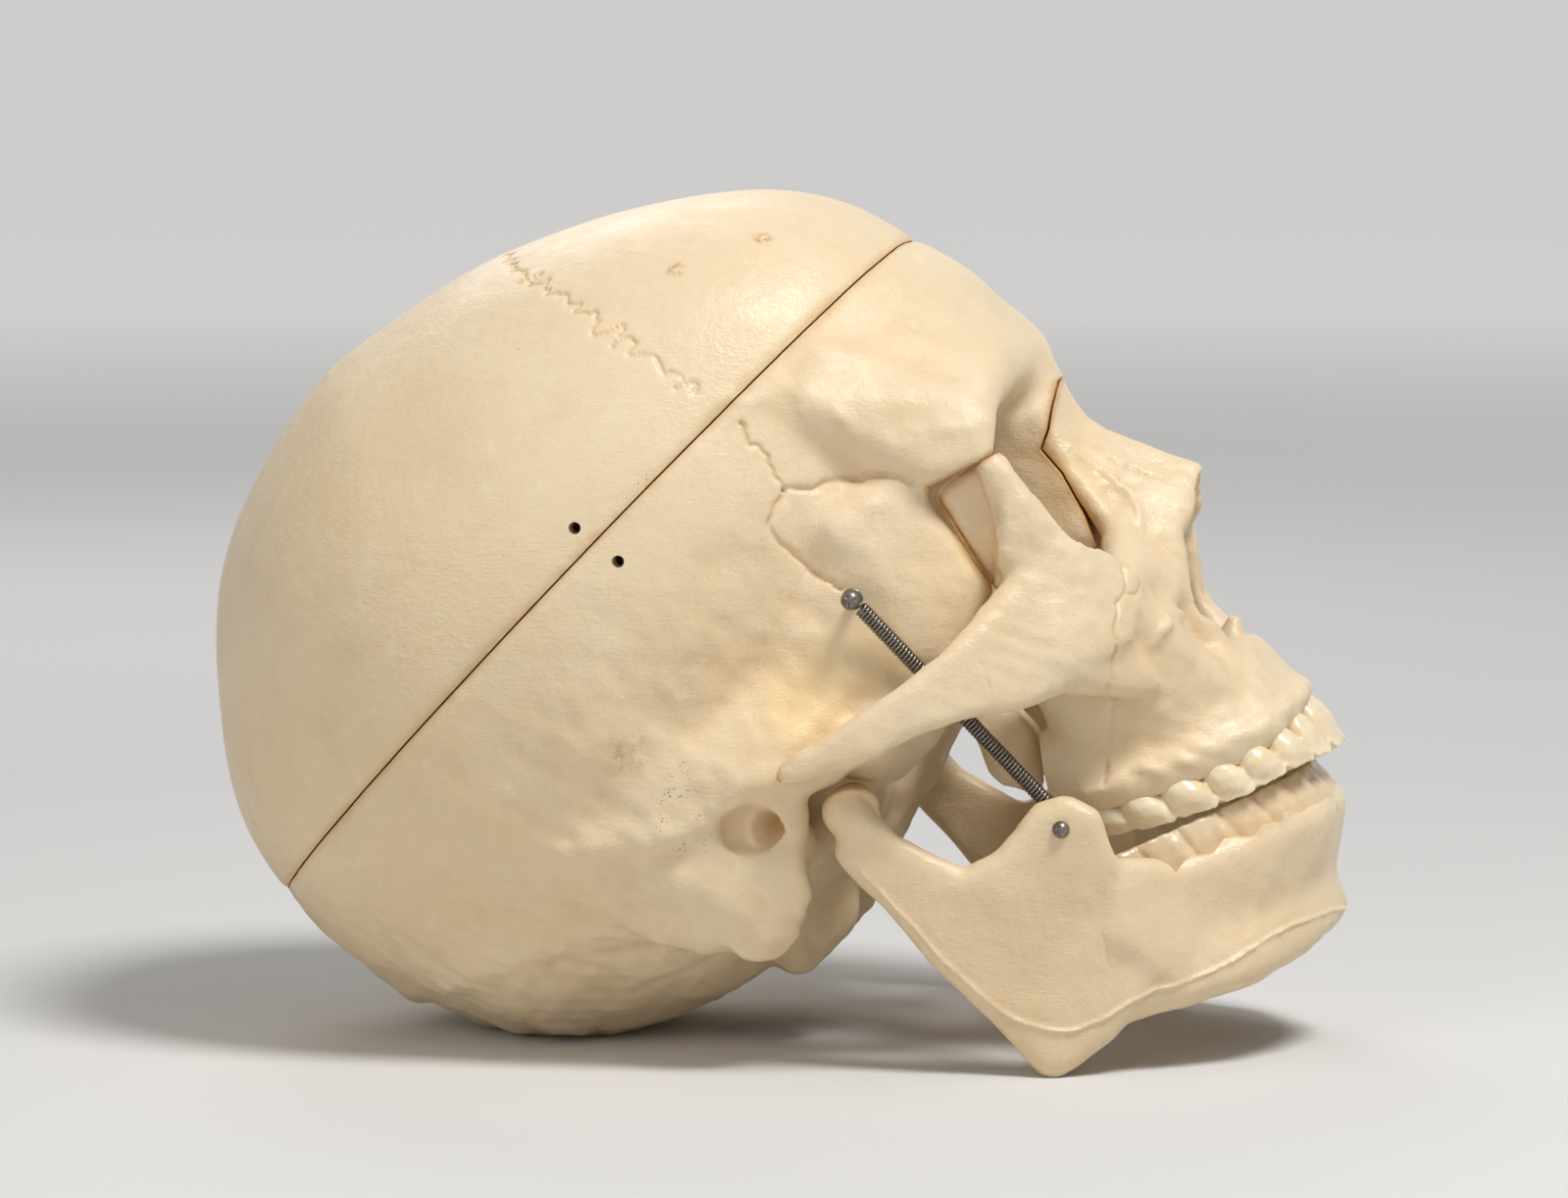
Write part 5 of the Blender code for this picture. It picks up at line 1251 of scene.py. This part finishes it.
def jaw_shells():
    """The lower jaw's branches and body."""
    bm = bmesh.new()
    t = 2.7
    branch = BRANCH_OUT
    add_both(bm, (HINGE.x, CONDYLE_INNER + 1, HINGE.z - 0.4, CONDYLE_RADIUS + 0.1),
             (HINGE.x, CONDYLE_OUTER - CONDYLE_RADIUS + 1, HINGE.z, CONDYLE_RADIUS + 0.1))
    add_both(bm, (12.6, branch + 5, -10, 3.6), (12.6, branch - 3, -10, 3.6),
             (9.0, branch + 2.5, -17, t), (14.6, branch + 2.5, -17, t))
    add_both(bm, (8.2, branch + 3.5, -14, t), (14.6, branch + 3, -12.4, t),
             (14.9, branch + 2.5, -18, t), (8.9, branch + 2, -27, t))
    add_both(bm, (8.9, branch + 2, -27, t), (14.9, branch + 2.5, -18, t),
             (16.8, branch + 2, -25.5, t), (21.0, branch + 1, -32.4, t),
             (9.1, branch + 0.5, -40, t))
    add_both(bm, (21.0, branch + 1, -32.4, t), (29, branch + 0.2, -34.2, t),
             (9.1, branch + 0.5, -40, t), (10.4, branch - 1, -54, t), (34, branch - 1.4, -50, t))
    add_both(bm, (29, branch + 0.2, -34.2, t), (40.4, branch, -31.6, t), (44.6, branch, -33.4, t),
             (46.4, branch, -37.5, t), (43.2, branch - 1.5, -46, t), (34, branch - 1.4, -50, t))
    add_both(bm, (10.4, branch - 1, -54, t), (11.6, branch - 1.8, -63.4, t),
             (12.2, branch - 2.2, -67.9, 3.9), (16.4, branch - 2.8, -69.2, 3.3),
             (23.0, branch - 4.4, -69.0, 3.3), (34, branch - 1.4, -50, t),
             (42, branch - 4.5, -52, 3.0), (33, branch - 7.5, -66, 4.2))
    body = (
        ((29, 40.5, -68.2, 4.4), (35.0, 40.0, -60.6, 3.6), (42.0, 40.5, -53.0, 3.6)),
        ((40, 34.5, -73.4, 4.8), (44.6, 33.6, -66.0, 3.6), (50.0, 34.0, -57.0, 4.0)),
        ((50, 26.5, -77.6, 5.0), (53.4, 26.6, -70.0, 3.8), (58.6, 28.6, -60.0, 4.2)),
        ((57.5, 16.0, -79.2, 5.0), (60.4, 18.2, -72.6, 4.0), (68.0, 22.0, -62.6, 4.4)),
        ((62.0, 7.0, -79.4, 5.2), (65.0, 9.4, -73.6, 4.0), (74.2, 13.0, -65.0, 4.2)),
        ((62.8, 0.0, -79.6, 5.2), (66.0, 0.0, -74.0, 4.0), (75.8, 0.0, -65.2, 4.2)),
    )
    add_chain(bm, *[section[:2] for section in body])
    add_chain(bm, *[section[1:] for section in body])
    add_both(bm, (43.0, branch - 3.5, -48, 2.8), (42.0, 40.5, -53.0, 3.6), (36, branch - 4, -58, 4),
             (50.0, 34.0, -57.0, 4.0), (44.6, 33.6, -66.0, 3.6), (38.0, 37.5, -70.0, 4.2))
    return bm


def lip_block():
    """A block whose lower side follows the lip round the lower teeth."""
    lip_x, lip_z = zip(*sorted((x, z) for x, _, z in LOWER_LIP))
    row = sorted(tooth[0] for tooth in LOWER_TEETH)
    line = [(lip_x[0] - 10, lip_z[0] + 3.5)]
    for x in np.linspace(lip_x[0], lip_x[-1], LIP_POINTS):
        wave = math.cos(2 * math.pi * np.interp(x, row, range(len(row))))
        swing = LIP_SWING * min(max((LIP_CALM_FROM - x) / LIP_FADE, 0.0), 1.0)
        line.append((float(x), float(np.interp(x, lip_x, lip_z) + LIP_RISE - swing * wave)))
    line.append((line[-1][0] + 12, line[-1][1]))
    return prism(line + [(line[-1][0], line[-1][1] + CUT_REACH), (line[0][0], line[0][1] + CUT_REACH)],
                 TEETH_ROOM)


def make_jaw():
    """The lower jaw in its resting place."""
    obj = fused(jaw_shells(), 1.0, 5)
    remesh(obj, sizes().face_grain, 3)
    tree = surface_tree(obj)
    lines = laid(tree, JAW_LINES)
    refine_near(obj, lines, 1.4)
    roughen(obj, 0.22, 9.0, 41)
    roughen(obj, 0.05, 2.4, 42)
    dimple(obj, JAW_DIMPLES)
    press(obj, lines)
    cut(obj, lip_block())
    cut(obj, holes((*CORONOID, 38, 60, SCREW_HOLE_RADIUS)))
    cut(obj, floor_block())
    paint(obj, lines)
    finish(obj, "jaw_shell", "jaw", "mandible", bone("jaw_ivory", 0.34))


def turned(profile, steps):
    """A closed form turned round z from pairs of radius and height that start and end on the axis."""
    bm = bmesh.new()
    rings = []
    for radius, height in profile:
        count = steps if radius else 1
        angles = [2 * math.pi * i / steps for i in range(count)]
        rings.append([bm.verts.new((radius * math.cos(a), radius * math.sin(a), height)) for a in angles])
    for low, high in zip(rings, rings[1:]):
        for i in range(steps):
            j = (i + 1) % steps
            corners = [low[i % len(low)], low[j % len(low)], high[j % len(high)], high[i % len(high)]]
            bm.faces.new(list(dict.fromkeys(corners)))
    bmesh.ops.recalc_face_normals(bm, faces=bm.faces[:])
    return bm


def screw_form(spot, rest, tip, side, wide):
    """A round-headed cross screw along y, with its head's underside at rest."""
    x, z = spot
    dome = [math.radians(angle) for angle in (0, 12, 25, 38, 51, 64, 77)]
    profile = [(0.0, tip), (0.6, tip), (SHANK_RADIUS, tip + 0.6), (SHANK_RADIUS, rest), (wide * 0.96, rest)]
    profile += [(wide * math.cos(a), rest + HEAD_HEIGHT * (0.08 + 0.92 * math.sin(a))) for a in dome]
    form = turned(profile + [(0.0, rest + HEAD_HEIGHT)], 40)
    turn = Vector((0, side, 0)).to_track_quat("Z", "X").to_matrix().to_4x4()
    form.transform(Matrix.Translation((x, 0, z)) @ turn)
    obj = object_of(form)
    top = side * (rest + HEAD_HEIGHT)
    long = SLOT_LENGTH * wide
    for half_x, half_z in ((long, SLOT_HALF_WIDTH), (SLOT_HALF_WIDTH, long)):
        slot = box((-half_x, half_x), sorted((top - side * SLOT_DEPTH, top + side)), (-half_z, half_z))
        slot.data.transform(Matrix.Translation((x, 0, z)) @ Matrix.Rotation(SLOT_TURN, 4, "Y"))
        cut(obj, slot)
    bevel = obj.modifiers.new("Edge", "BEVEL")
    bevel.width = 0.07
    bevel.segments = 2
    bevel.limit_method = "ANGLE"
    bevel.angle_limit = math.radians(40)
    apply_modifiers(obj)
    return obj


def make_screws():
    """The cross-head screws in the temples and through the jaw's branches."""
    for side, word in ((RIGHT, "right"), (LEFT, "left")):
        temple = screw_form(TEMPLE, TEMPLE_HEAD_REST, TEMPLE_BONE - 6.5, side, HEAD_RADIUS)
        finish(temple, "temple_bolt_" + word, "skull", "temple_screw_" + word,
               metal("temple_steel_" + word, 0.30), 30.0)
        pin = screw_form(CORONOID, CORONOID_BONE + 0.5, CORONOID_BONE - 11.2, side, PIN_RADIUS)
        finish(pin, "coronoid_bolt_" + word, "jaw", "coronoid_screw_" + word,
               metal("coronoid_steel_" + word, 0.34), 30.0)


def eye_points(centre, flat, start):
    """The open ring of wire that hooks round a screw."""
    wide = Vector((0, 1, 0)).cross(flat)
    points = []
    for k in range(EYE_POINTS):
        angle = math.radians(start + EYE_ARC * k / (EYE_POINTS - 1))
        points.append(centre - flat * (EYE_RADIUS * math.cos(angle)) + wide * (EYE_RADIUS * math.sin(angle)))
    return points


def coil_points(top, low):
    """The wire's centre line: an eye, the close turns and the other eye."""
    axis = (low - top).normalized()
    u = axis.cross(Vector((0, 1, 0))).normalized()
    v = axis.cross(u)
    radius = sizes().spring_radius - sizes().wire_radius
    start = top + axis * COIL_TOP_GAP
    end = low - axis * COIL_LOW_GAP
    steps = sizes().spring_turns * TURN_POINTS
    flat = Vector((axis.x, 0, axis.z)).normalized()
    points = eye_points(top, flat, -150)
    for i in range(steps + 1):
        angle = 2 * math.pi * i / TURN_POINTS
        points.append(start.lerp(end, i / steps) + (u * math.cos(angle) + v * math.sin(angle)) * radius)
    return points + eye_points(low, flat, 30), start, end


def make_springs():
    """The close-wound springs, which stretch between the skull and the jaw."""
    for side, word in ((RIGHT, "right"), (LEFT, "left")):
        top = Vector((TEMPLE[0], side * SPRING_TOP_OUT, TEMPLE[1]))
        low = Vector((CORONOID[0], side * SPRING_LOW_OUT, CORONOID[1]))
        points, start, end = coil_points(top, low)
        name = "jaw_coil_" + word
        curve = bpy.data.curves.new(name, "CURVE")
        curve.dimensions = "3D"
        curve.bevel_depth = sizes().wire_radius
        curve.bevel_resolution = 2
        curve.use_fill_caps = True
        spline = curve.splines.new("POLY")
        spline.points.add(len(points) - 1)
        for target, point in zip(spline.points, points):
            target.co = (*point, 1.0)
        wound = bpy.data.objects.new(name, curve)
        bpy.context.scene.collection.objects.link(wound)
        graph = bpy.context.evaluated_depsgraph_get()
        mesh = bpy.data.meshes.new_from_object(wound.evaluated_get(graph))
        bpy.data.objects.remove(wound, do_unlink=True)
        obj = bpy.data.objects.new(name, mesh)
        bpy.context.scene.collection.objects.link(obj)
        mesh.transform(skull_to_row())
        mesh.name = name
        mesh.materials.clear()
        mesh.materials.append(metal("steel_wire_" + word, 0.30))
        mesh.shade_smooth()
        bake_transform(obj)
        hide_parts("jaw_spring_" + word)


def make_pegs():
    """The dark pegs across the saw cut."""
    for word in ("right", "left"):
        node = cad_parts["cap_peg_" + word]
        bm = bmesh.new()
        bm.from_mesh(node.data)
        bmesh.ops.remove_doubles(bm, verts=bm.verts, dist=1e-6)
        rims = [e for e in bm.edges if len(e.link_faces) == 2 and e.calc_face_angle() > math.radians(60)]
        bmesh.ops.bevel(bm, geom=rims, offset=PEG_BEVEL, segments=3, profile=0.5, affect="EDGES",
                        material=-1)
        mesh = bpy.data.meshes.new("peg")
        bm.to_mesh(mesh)
        bm.free()
        name = "locating_peg_" + word
        obj = bpy.data.objects.new(name, mesh)
        bpy.context.scene.collection.objects.link(obj)
        mesh.name = name
        mesh.materials.clear()
        mesh.materials.append(dark_plastic("peg_black_" + word))
        mesh.shade_smooth()
        mesh.set_sharp_from_angle(angle=math.radians(30))
        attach(obj, "skull")
        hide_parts("cap_peg_" + word)


class Shader:
    """A small help to lay out a node material."""

    def __init__(self, name):
        self.material = bpy.data.materials.new(name)
        self.material.use_nodes = True
        self.nodes = self.material.node_tree.nodes
        self.links = self.material.node_tree.links
        self.surface = self.nodes["Principled BSDF"]
        self.place = self.nodes.new("ShaderNodeTexCoord").outputs["Object"]

    def link(self, output, target):
        """Join an output to an input."""
        self.links.new(output, target)

    def noise(self, scale, detail=3.0, roughness=0.5):
        """A noise pattern over the piece's own place; scale is in waves to the metre."""
        node = self.nodes.new("ShaderNodeTexNoise")
        node.inputs["Scale"].default_value = scale
        node.inputs["Detail"].default_value = detail
        node.inputs["Roughness"].default_value = roughness
        self.link(self.place, node.inputs["Vector"])
        return node.outputs["Fac"]

    def streaks(self, along, across):
        """Fine scratches, drawn out along the skull's length."""
        turn = self.nodes.new("ShaderNodeMapping")
        turn.inputs["Rotation"].default_value = (0.0, LEAN, 0.0)
        turn.inputs["Scale"].default_value = (along, across, across)
        self.link(self.place, turn.inputs["Vector"])
        node = self.nodes.new("ShaderNodeTexNoise")
        node.inputs["Scale"].default_value = 1.0
        node.inputs["Detail"].default_value = 2.0
        self.link(turn.outputs["Vector"], node.inputs["Vector"])
        return node.outputs["Fac"]

    def voronoi(self, scale):
        """The distance to scattered points."""
        node = self.nodes.new("ShaderNodeTexVoronoi")
        node.inputs["Scale"].default_value = scale
        self.link(self.place, node.inputs["Vector"])
        return node.outputs["Distance"]

    def span(self, value, low, high, to_low=0.0, to_high=1.0):
        """A value stretched from one span to another, held at the ends."""
        node = self.nodes.new("ShaderNodeMapRange")
        node.inputs["From Min"].default_value = low
        node.inputs["From Max"].default_value = high
        node.inputs["To Min"].default_value = to_low
        node.inputs["To Max"].default_value = to_high
        self.link(value, node.inputs["Value"])
        return node.outputs["Result"]

    def times(self, first, second):
        """The product of two values."""
        node = self.nodes.new("ShaderNodeMath")
        node.operation = "MULTIPLY"
        self.link(first, node.inputs[0])
        if isinstance(second, float):
            node.inputs[1].default_value = second
        else:
            self.link(second, node.inputs[1])
        return node.outputs["Value"]

    def plus(self, first, second):
        """The sum of two values."""
        node = self.nodes.new("ShaderNodeMath")
        node.operation = "ADD"
        self.link(first, node.inputs[0])
        self.link(second, node.inputs[1])
        return node.outputs["Value"]

    def mix(self, factor, first, second):
        """One colour over another; each is a colour or an output."""
        node = self.nodes.new("ShaderNodeMix")
        node.data_type = "RGBA"
        self.link(factor, node.inputs["Factor"])
        for value, socket in ((first, node.inputs[6]), (second, node.inputs[7])):
            if isinstance(value, bpy.types.NodeSocket):
                self.link(value, socket)
            else:
                socket.default_value = (*value, 1.0)
        return node.outputs[2]

    def attribute(self, name):
        """A value stored on the piece's points."""
        node = self.nodes.new("ShaderNodeAttribute")
        node.attribute_name = name
        return node.outputs["Fac"]

    def bump(self, height, strength, distance):
        """Small relief on the surface, in metres."""
        node = self.nodes.new("ShaderNodeBump")
        node.inputs["Strength"].default_value = strength
        node.inputs["Distance"].default_value = distance
        self.link(height, node.inputs["Height"])
        self.link(node.outputs["Normal"], self.surface.inputs["Normal"])


def scaled(colour, factor):
    """A colour made lighter or darker."""
    return tuple(min(1.0, c * factor) for c in colour)


def bone(name, roughness):
    """Moulded ivory plastic: mottled, with stains, specks and fine scratches, and with painted light:
    darker, orange-brown painted shade in hollows, grooves, the saw cut and the joints, and a painted glow
    where the plastic is thin.
    """
    s = Shader(name)
    ivory = tuple(colours().ivory)
    warm_painted_shade = tuple(colours().warm_painted_shade)
    clouds = s.span(s.noise(24.0, 4.0, 0.6), 0.34, 0.68)
    colour = s.mix(clouds, ivory, (ivory[0] * 0.94, ivory[1] * 0.89, ivory[2] * 0.81))
    grime = s.span(s.noise(85.0, 6.0, 0.7), 0.52, 0.80, 0.0, 0.42)
    colour = s.mix(grime, colour, (ivory[0] * 0.78, ivory[1] * 0.71, ivory[2] * 0.60))
    pale = s.span(s.noise(230.0, 4.0, 0.6), 0.60, 0.80, 0.0, 0.30)
    colour = s.mix(pale, colour, (0.90, 0.80, 0.62))
    # Painted glow: lighter orange where light comes through the thin plastic.
    colour = s.mix(s.times(s.attribute("glow"), 0.60), colour, (0.92, 0.66, 0.30))
    # Painted shade: orange-brown in hollows, grooves, the saw cut and the joints.
    colour = s.mix(s.times(s.attribute("hollow"), 0.88), colour, warm_painted_shade)
    brown = s.times(s.attribute("stain"), s.span(s.noise(620.0, 5.0, 0.7), 0.42, 0.60))
    colour = s.mix(brown, colour, (0.50, 0.27, 0.09))
    near = s.times(s.attribute("specks"), s.span(s.noise(330.0, 3.0), 0.50, 0.58))
    dots = s.times(near, s.span(s.voronoi(1300.0), 0.22, 0.34, 1.0, 0.0))
    colour = s.mix(dots, colour, (0.03, 0.035, 0.025))
    strays = s.times(s.span(s.voronoi(190.0), 0.0, 0.07, 1.0, 0.0), s.span(s.noise(40.0, 2.0), 0.60, 0.68))
    colour = s.mix(strays, colour, (0.20, 0.12, 0.07))
    s.link(colour, s.surface.inputs["Base Color"])
    gloss = s.span(s.noise(150.0, 5.0, 0.6), 0.3, 0.7, roughness - 0.07, roughness + 0.13)
    s.link(gloss, s.surface.inputs["Roughness"])
    relief = s.plus(s.times(s.noise(380.0, 4.0, 0.6), 0.8), s.times(s.noise(1500.0, 3.0), 0.24))
    relief = s.plus(relief, s.times(s.streaks(300.0, 2600.0), 0.26))
    s.bump(relief, 0.55, 0.00055)
    s.surface.inputs["Subsurface Weight"].default_value = 0.14
    s.surface.inputs["Subsurface Radius"].default_value = (1.0, 0.50, 0.22)
    s.surface.inputs["Subsurface Scale"].default_value = 0.003
    s.surface.inputs["Specular IOR Level"].default_value = 0.5
    return s.material


def enamel(name, colour):
    """Glossier, slightly clear plastic of the crowns, with darker, orange-brown painted shade between them.
    """
    s = Shader(name)
    colour = tuple(colour)
    clouds = s.span(s.noise(140.0, 3.0), 0.35, 0.70)
    tone = s.mix(clouds, colour, (colour[0] * 0.93, colour[1] * 0.87, colour[2] * 0.77))
    pale = s.span(s.noise(420.0, 3.0), 0.60, 0.80, 0.0, 0.20)
    tone = s.mix(pale, tone, (0.90, 0.80, 0.62))
    # Painted shade between the crowns.
    tone = s.mix(s.attribute("hollow"), tone, scaled(tuple(colours().warm_painted_shade), 0.9))
    s.link(tone, s.surface.inputs["Base Color"])
    s.link(s.span(s.noise(300.0, 3.0), 0.3, 0.7, 0.20, 0.36), s.surface.inputs["Roughness"])
    s.bump(s.noise(900.0, 3.0), 0.25, 0.0002)
    s.surface.inputs["Subsurface Weight"].default_value = 0.25
    s.surface.inputs["Subsurface Radius"].default_value = (1.0, 0.55, 0.25)
    s.surface.inputs["Subsurface Scale"].default_value = 0.002
    return s.material


def metal(name, roughness):
    """Plain steel with faint wear, its colour darkened as a painted dark reflection."""
    s = Shader(name)
    steel_dark_reflection = tuple(colours().steel_dark_reflection)
    tone = s.mix(s.span(s.noise(900.0, 4.0), 0.35, 0.7), steel_dark_reflection, scaled(steel_dark_reflection, 0.62))
    s.link(tone, s.surface.inputs["Base Color"])
    s.surface.inputs["Metallic"].default_value = 1.0
    s.link(s.span(s.noise(1400.0, 3.0), 0.3, 0.7, roughness - 0.06, roughness + 0.12),
           s.surface.inputs["Roughness"])
    s.bump(s.noise(3000.0, 2.0), 0.1, 0.0001)
    return s.material


def dark_plastic(name):
    """Dull dark plastic."""
    s = Shader(name)
    s.link(s.mix(s.noise(700.0, 3.0), (0.030, 0.032, 0.028), (0.075, 0.075, 0.065)),
           s.surface.inputs["Base Color"])
    s.surface.inputs["Roughness"].default_value = 0.5
    s.bump(s.noise(2200.0, 2.0), 0.2, 0.0001)
    return s.material


def make_stage():
    """The floor, the light and the camera."""
    scene = bpy.context.scene
    bm = bmesh.new()
    bmesh.ops.create_circle(bm, cap_ends=True, cap_tris=False, segments=96, radius=60.0)
    mesh = bpy.data.meshes.new("floor")
    bm.to_mesh(mesh)
    bm.free()
    floor = bpy.data.objects.new("floor", mesh)
    scene.collection.objects.link(floor)
    mesh.materials.append(floor_paper())
    world = bpy.data.worlds.new("studio")
    world.use_nodes = True
    scene.world = world
    nodes = world.node_tree.nodes
    links = world.node_tree.links
    sky = nodes["Background"]
    sky.inputs["Color"].default_value = (0.96, 0.975, 1.0, 1.0)
    path = nodes.new("ShaderNodeLightPath")
    seen = nodes.new("ShaderNodeMath")
    seen.operation = "ADD"
    links.new(path.outputs["Is Camera Ray"], seen.inputs[0])
    links.new(path.outputs["Is Glossy Ray"], seen.inputs[1])
    through = nodes.new("ShaderNodeMath")
    through.operation = "ADD"
    links.new(seen.outputs["Value"], through.inputs[0])
    links.new(path.outputs["Is Transmission Ray"], through.inputs[1])
    level = nodes.new("ShaderNodeMapRange")
    level.inputs["To Min"].default_value = 0.24
    level.inputs["To Max"].default_value = 0.78
    links.new(through.outputs["Value"], level.inputs["Value"])
    links.new(level.outputs["Result"], sky.inputs["Strength"])
    for name, place, size, power in (("key", (0.50, -0.42, 1.20), 0.40, 13.5),
                                     ("front", (-0.60, -1.30, 0.60), 0.80, 4.0),
                                     ("rim", (-0.40, 0.90, 0.80), 0.60, 2.5)):
        lamp = bpy.data.lights.new(name, "AREA")
        lamp.shape = "DISK"
        lamp.size = size
        lamp.energy = power
        obj = bpy.data.objects.new(name, lamp)
        scene.collection.objects.link(obj)
        obj.location = place
        aim = Vector((0.0, 0.0, 0.08)) - Vector(place)
        obj.rotation_euler = aim.to_track_quat("-Z", "Y").to_euler()
    add_camera(scene)
    scene.view_settings.view_transform = "Standard"


def add_camera(scene):
    """The camera at the photograph's angle."""
    azimuth = math.radians(CAMERA_AZIMUTH)
    elevation = math.radians(CAMERA_ELEVATION)
    away = Vector((math.sin(azimuth) * math.cos(elevation), -math.cos(azimuth) * math.cos(elevation),
                   math.sin(elevation)))
    lens = bpy.data.cameras.new("camera")
    lens.lens = CAMERA_LENS
    lens.sensor_width = SENSOR_WIDTH
    lens.clip_end = 200.0
    camera = bpy.data.objects.new("camera", lens)
    scene.collection.objects.link(camera)
    camera.location = CAMERA_TARGET + away * CAMERA_DISTANCE
    camera.rotation_euler = (-away).to_track_quat("-Z", "Y").to_euler()
    scene.camera = camera


def floor_paper():
    """Pale studio paper."""
    s = Shader("floor_paper")
    pale = tuple(colours().floor)
    s.link(s.mix(s.span(s.noise(2.5, 3.0), 0.3, 0.7), pale, scaled(pale, 0.985)),
           s.surface.inputs["Base Color"])
    s.surface.inputs["Roughness"].default_value = 0.9
    s.surface.inputs["Specular IOR Level"].default_value = 0.1
    reach = s.nodes.new("ShaderNodeVectorMath")
    reach.operation = "LENGTH"
    s.link(s.place, reach.inputs[0])
    s.surface.inputs["Emission Color"].default_value = (*pale, 1.0)
    s.link(s.span(reach.outputs["Value"], 0.45, 2.6, 0.0, 0.56), s.surface.inputs["Emission Strength"])
    return s.material


class SKULL_OT_stage(bpy.types.Operator):
    """Set the floor, the studio light and the camera"""
    bl_idname = "skull.stage"
    bl_label = "Studio"

    def execute(self, context):
        make_stage()
        return {"FINISHED"}


class SKULL_OT_braincase(bpy.types.Operator):
    """Build the cap and the base of the braincase"""
    bl_idname = "skull.braincase"
    bl_label = "Braincase"

    def execute(self, context):
        make_braincase()
        return {"FINISHED"}


class SKULL_OT_face(bpy.types.Operator):
    """Build the face block"""
    bl_idname = "skull.face"
    bl_label = "Face"

    def execute(self, context):
        make_face()
        return {"FINISHED"}


class SKULL_OT_teeth(bpy.types.Operator):
    """Build both rows of teeth"""
    bl_idname = "skull.teeth"
    bl_label = "Teeth"

    def execute(self, context):
        make_teeth()
        return {"FINISHED"}


class SKULL_OT_jaw(bpy.types.Operator):
    """Build the lower jaw"""
    bl_idname = "skull.jaw"
    bl_label = "Jaw"

    def execute(self, context):
        make_jaw()
        return {"FINISHED"}


class SKULL_OT_screws(bpy.types.Operator):
    """Build the four cross-head screws"""
    bl_idname = "skull.screws"
    bl_label = "Screws"

    def execute(self, context):
        make_screws()
        return {"FINISHED"}


class SKULL_OT_springs(bpy.types.Operator):
    """Wind the two jaw springs"""
    bl_idname = "skull.springs"
    bl_label = "Springs"

    def execute(self, context):
        make_springs()
        return {"FINISHED"}


class SKULL_OT_pegs(bpy.types.Operator):
    """Build the two pegs of the cap"""
    bl_idname = "skull.pegs"
    bl_label = "Cap pegs"

    def execute(self, context):
        make_pegs()
        return {"FINISHED"}


OPERATORS = (SKULL_OT_stage, SKULL_OT_braincase, SKULL_OT_face, SKULL_OT_teeth, SKULL_OT_jaw,
             SKULL_OT_screws, SKULL_OT_springs, SKULL_OT_pegs)


class SKULL_PT_panel(bpy.types.Panel):
    """The skull's sizes, colours and pieces"""
    bl_label = "Teaching Skull"
    bl_space_type = "VIEW_3D"
    bl_region_type = "UI"
    bl_category = "Skull"

    def draw(self, context):
        column = self.layout.column()
        for group in (context.scene.skull_sizes, context.scene.skull_colours):
            for key in group.__annotations__:
                column.prop(group, key)
        for operator in OPERATORS:
            column.operator(operator.bl_idname)


CLASSES = (SkullSizes, SkullColours, *OPERATORS, SKULL_PT_panel)


def register():
    """Add the classes and the settings to Blender."""
    for item in CLASSES:
        bpy.utils.register_class(item)
    bpy.types.Scene.skull_sizes = bpy.props.PointerProperty(type=SkullSizes)
    bpy.types.Scene.skull_colours = bpy.props.PointerProperty(type=SkullColours)


def unregister():
    """Take the classes and the settings out of Blender."""
    del bpy.types.Scene.skull_colours
    del bpy.types.Scene.skull_sizes
    for item in reversed(CLASSES):
        bpy.utils.unregister_class(item)


def main():
    """Build the studio and every piece."""
    register()
    bpy.ops.skull.stage()
    bpy.ops.skull.braincase()
    bpy.ops.skull.face()
    bpy.ops.skull.teeth()
    bpy.ops.skull.jaw()
    bpy.ops.skull.screws()
    bpy.ops.skull.springs()
    bpy.ops.skull.pegs()


if __name__ == "__main__":
    main()
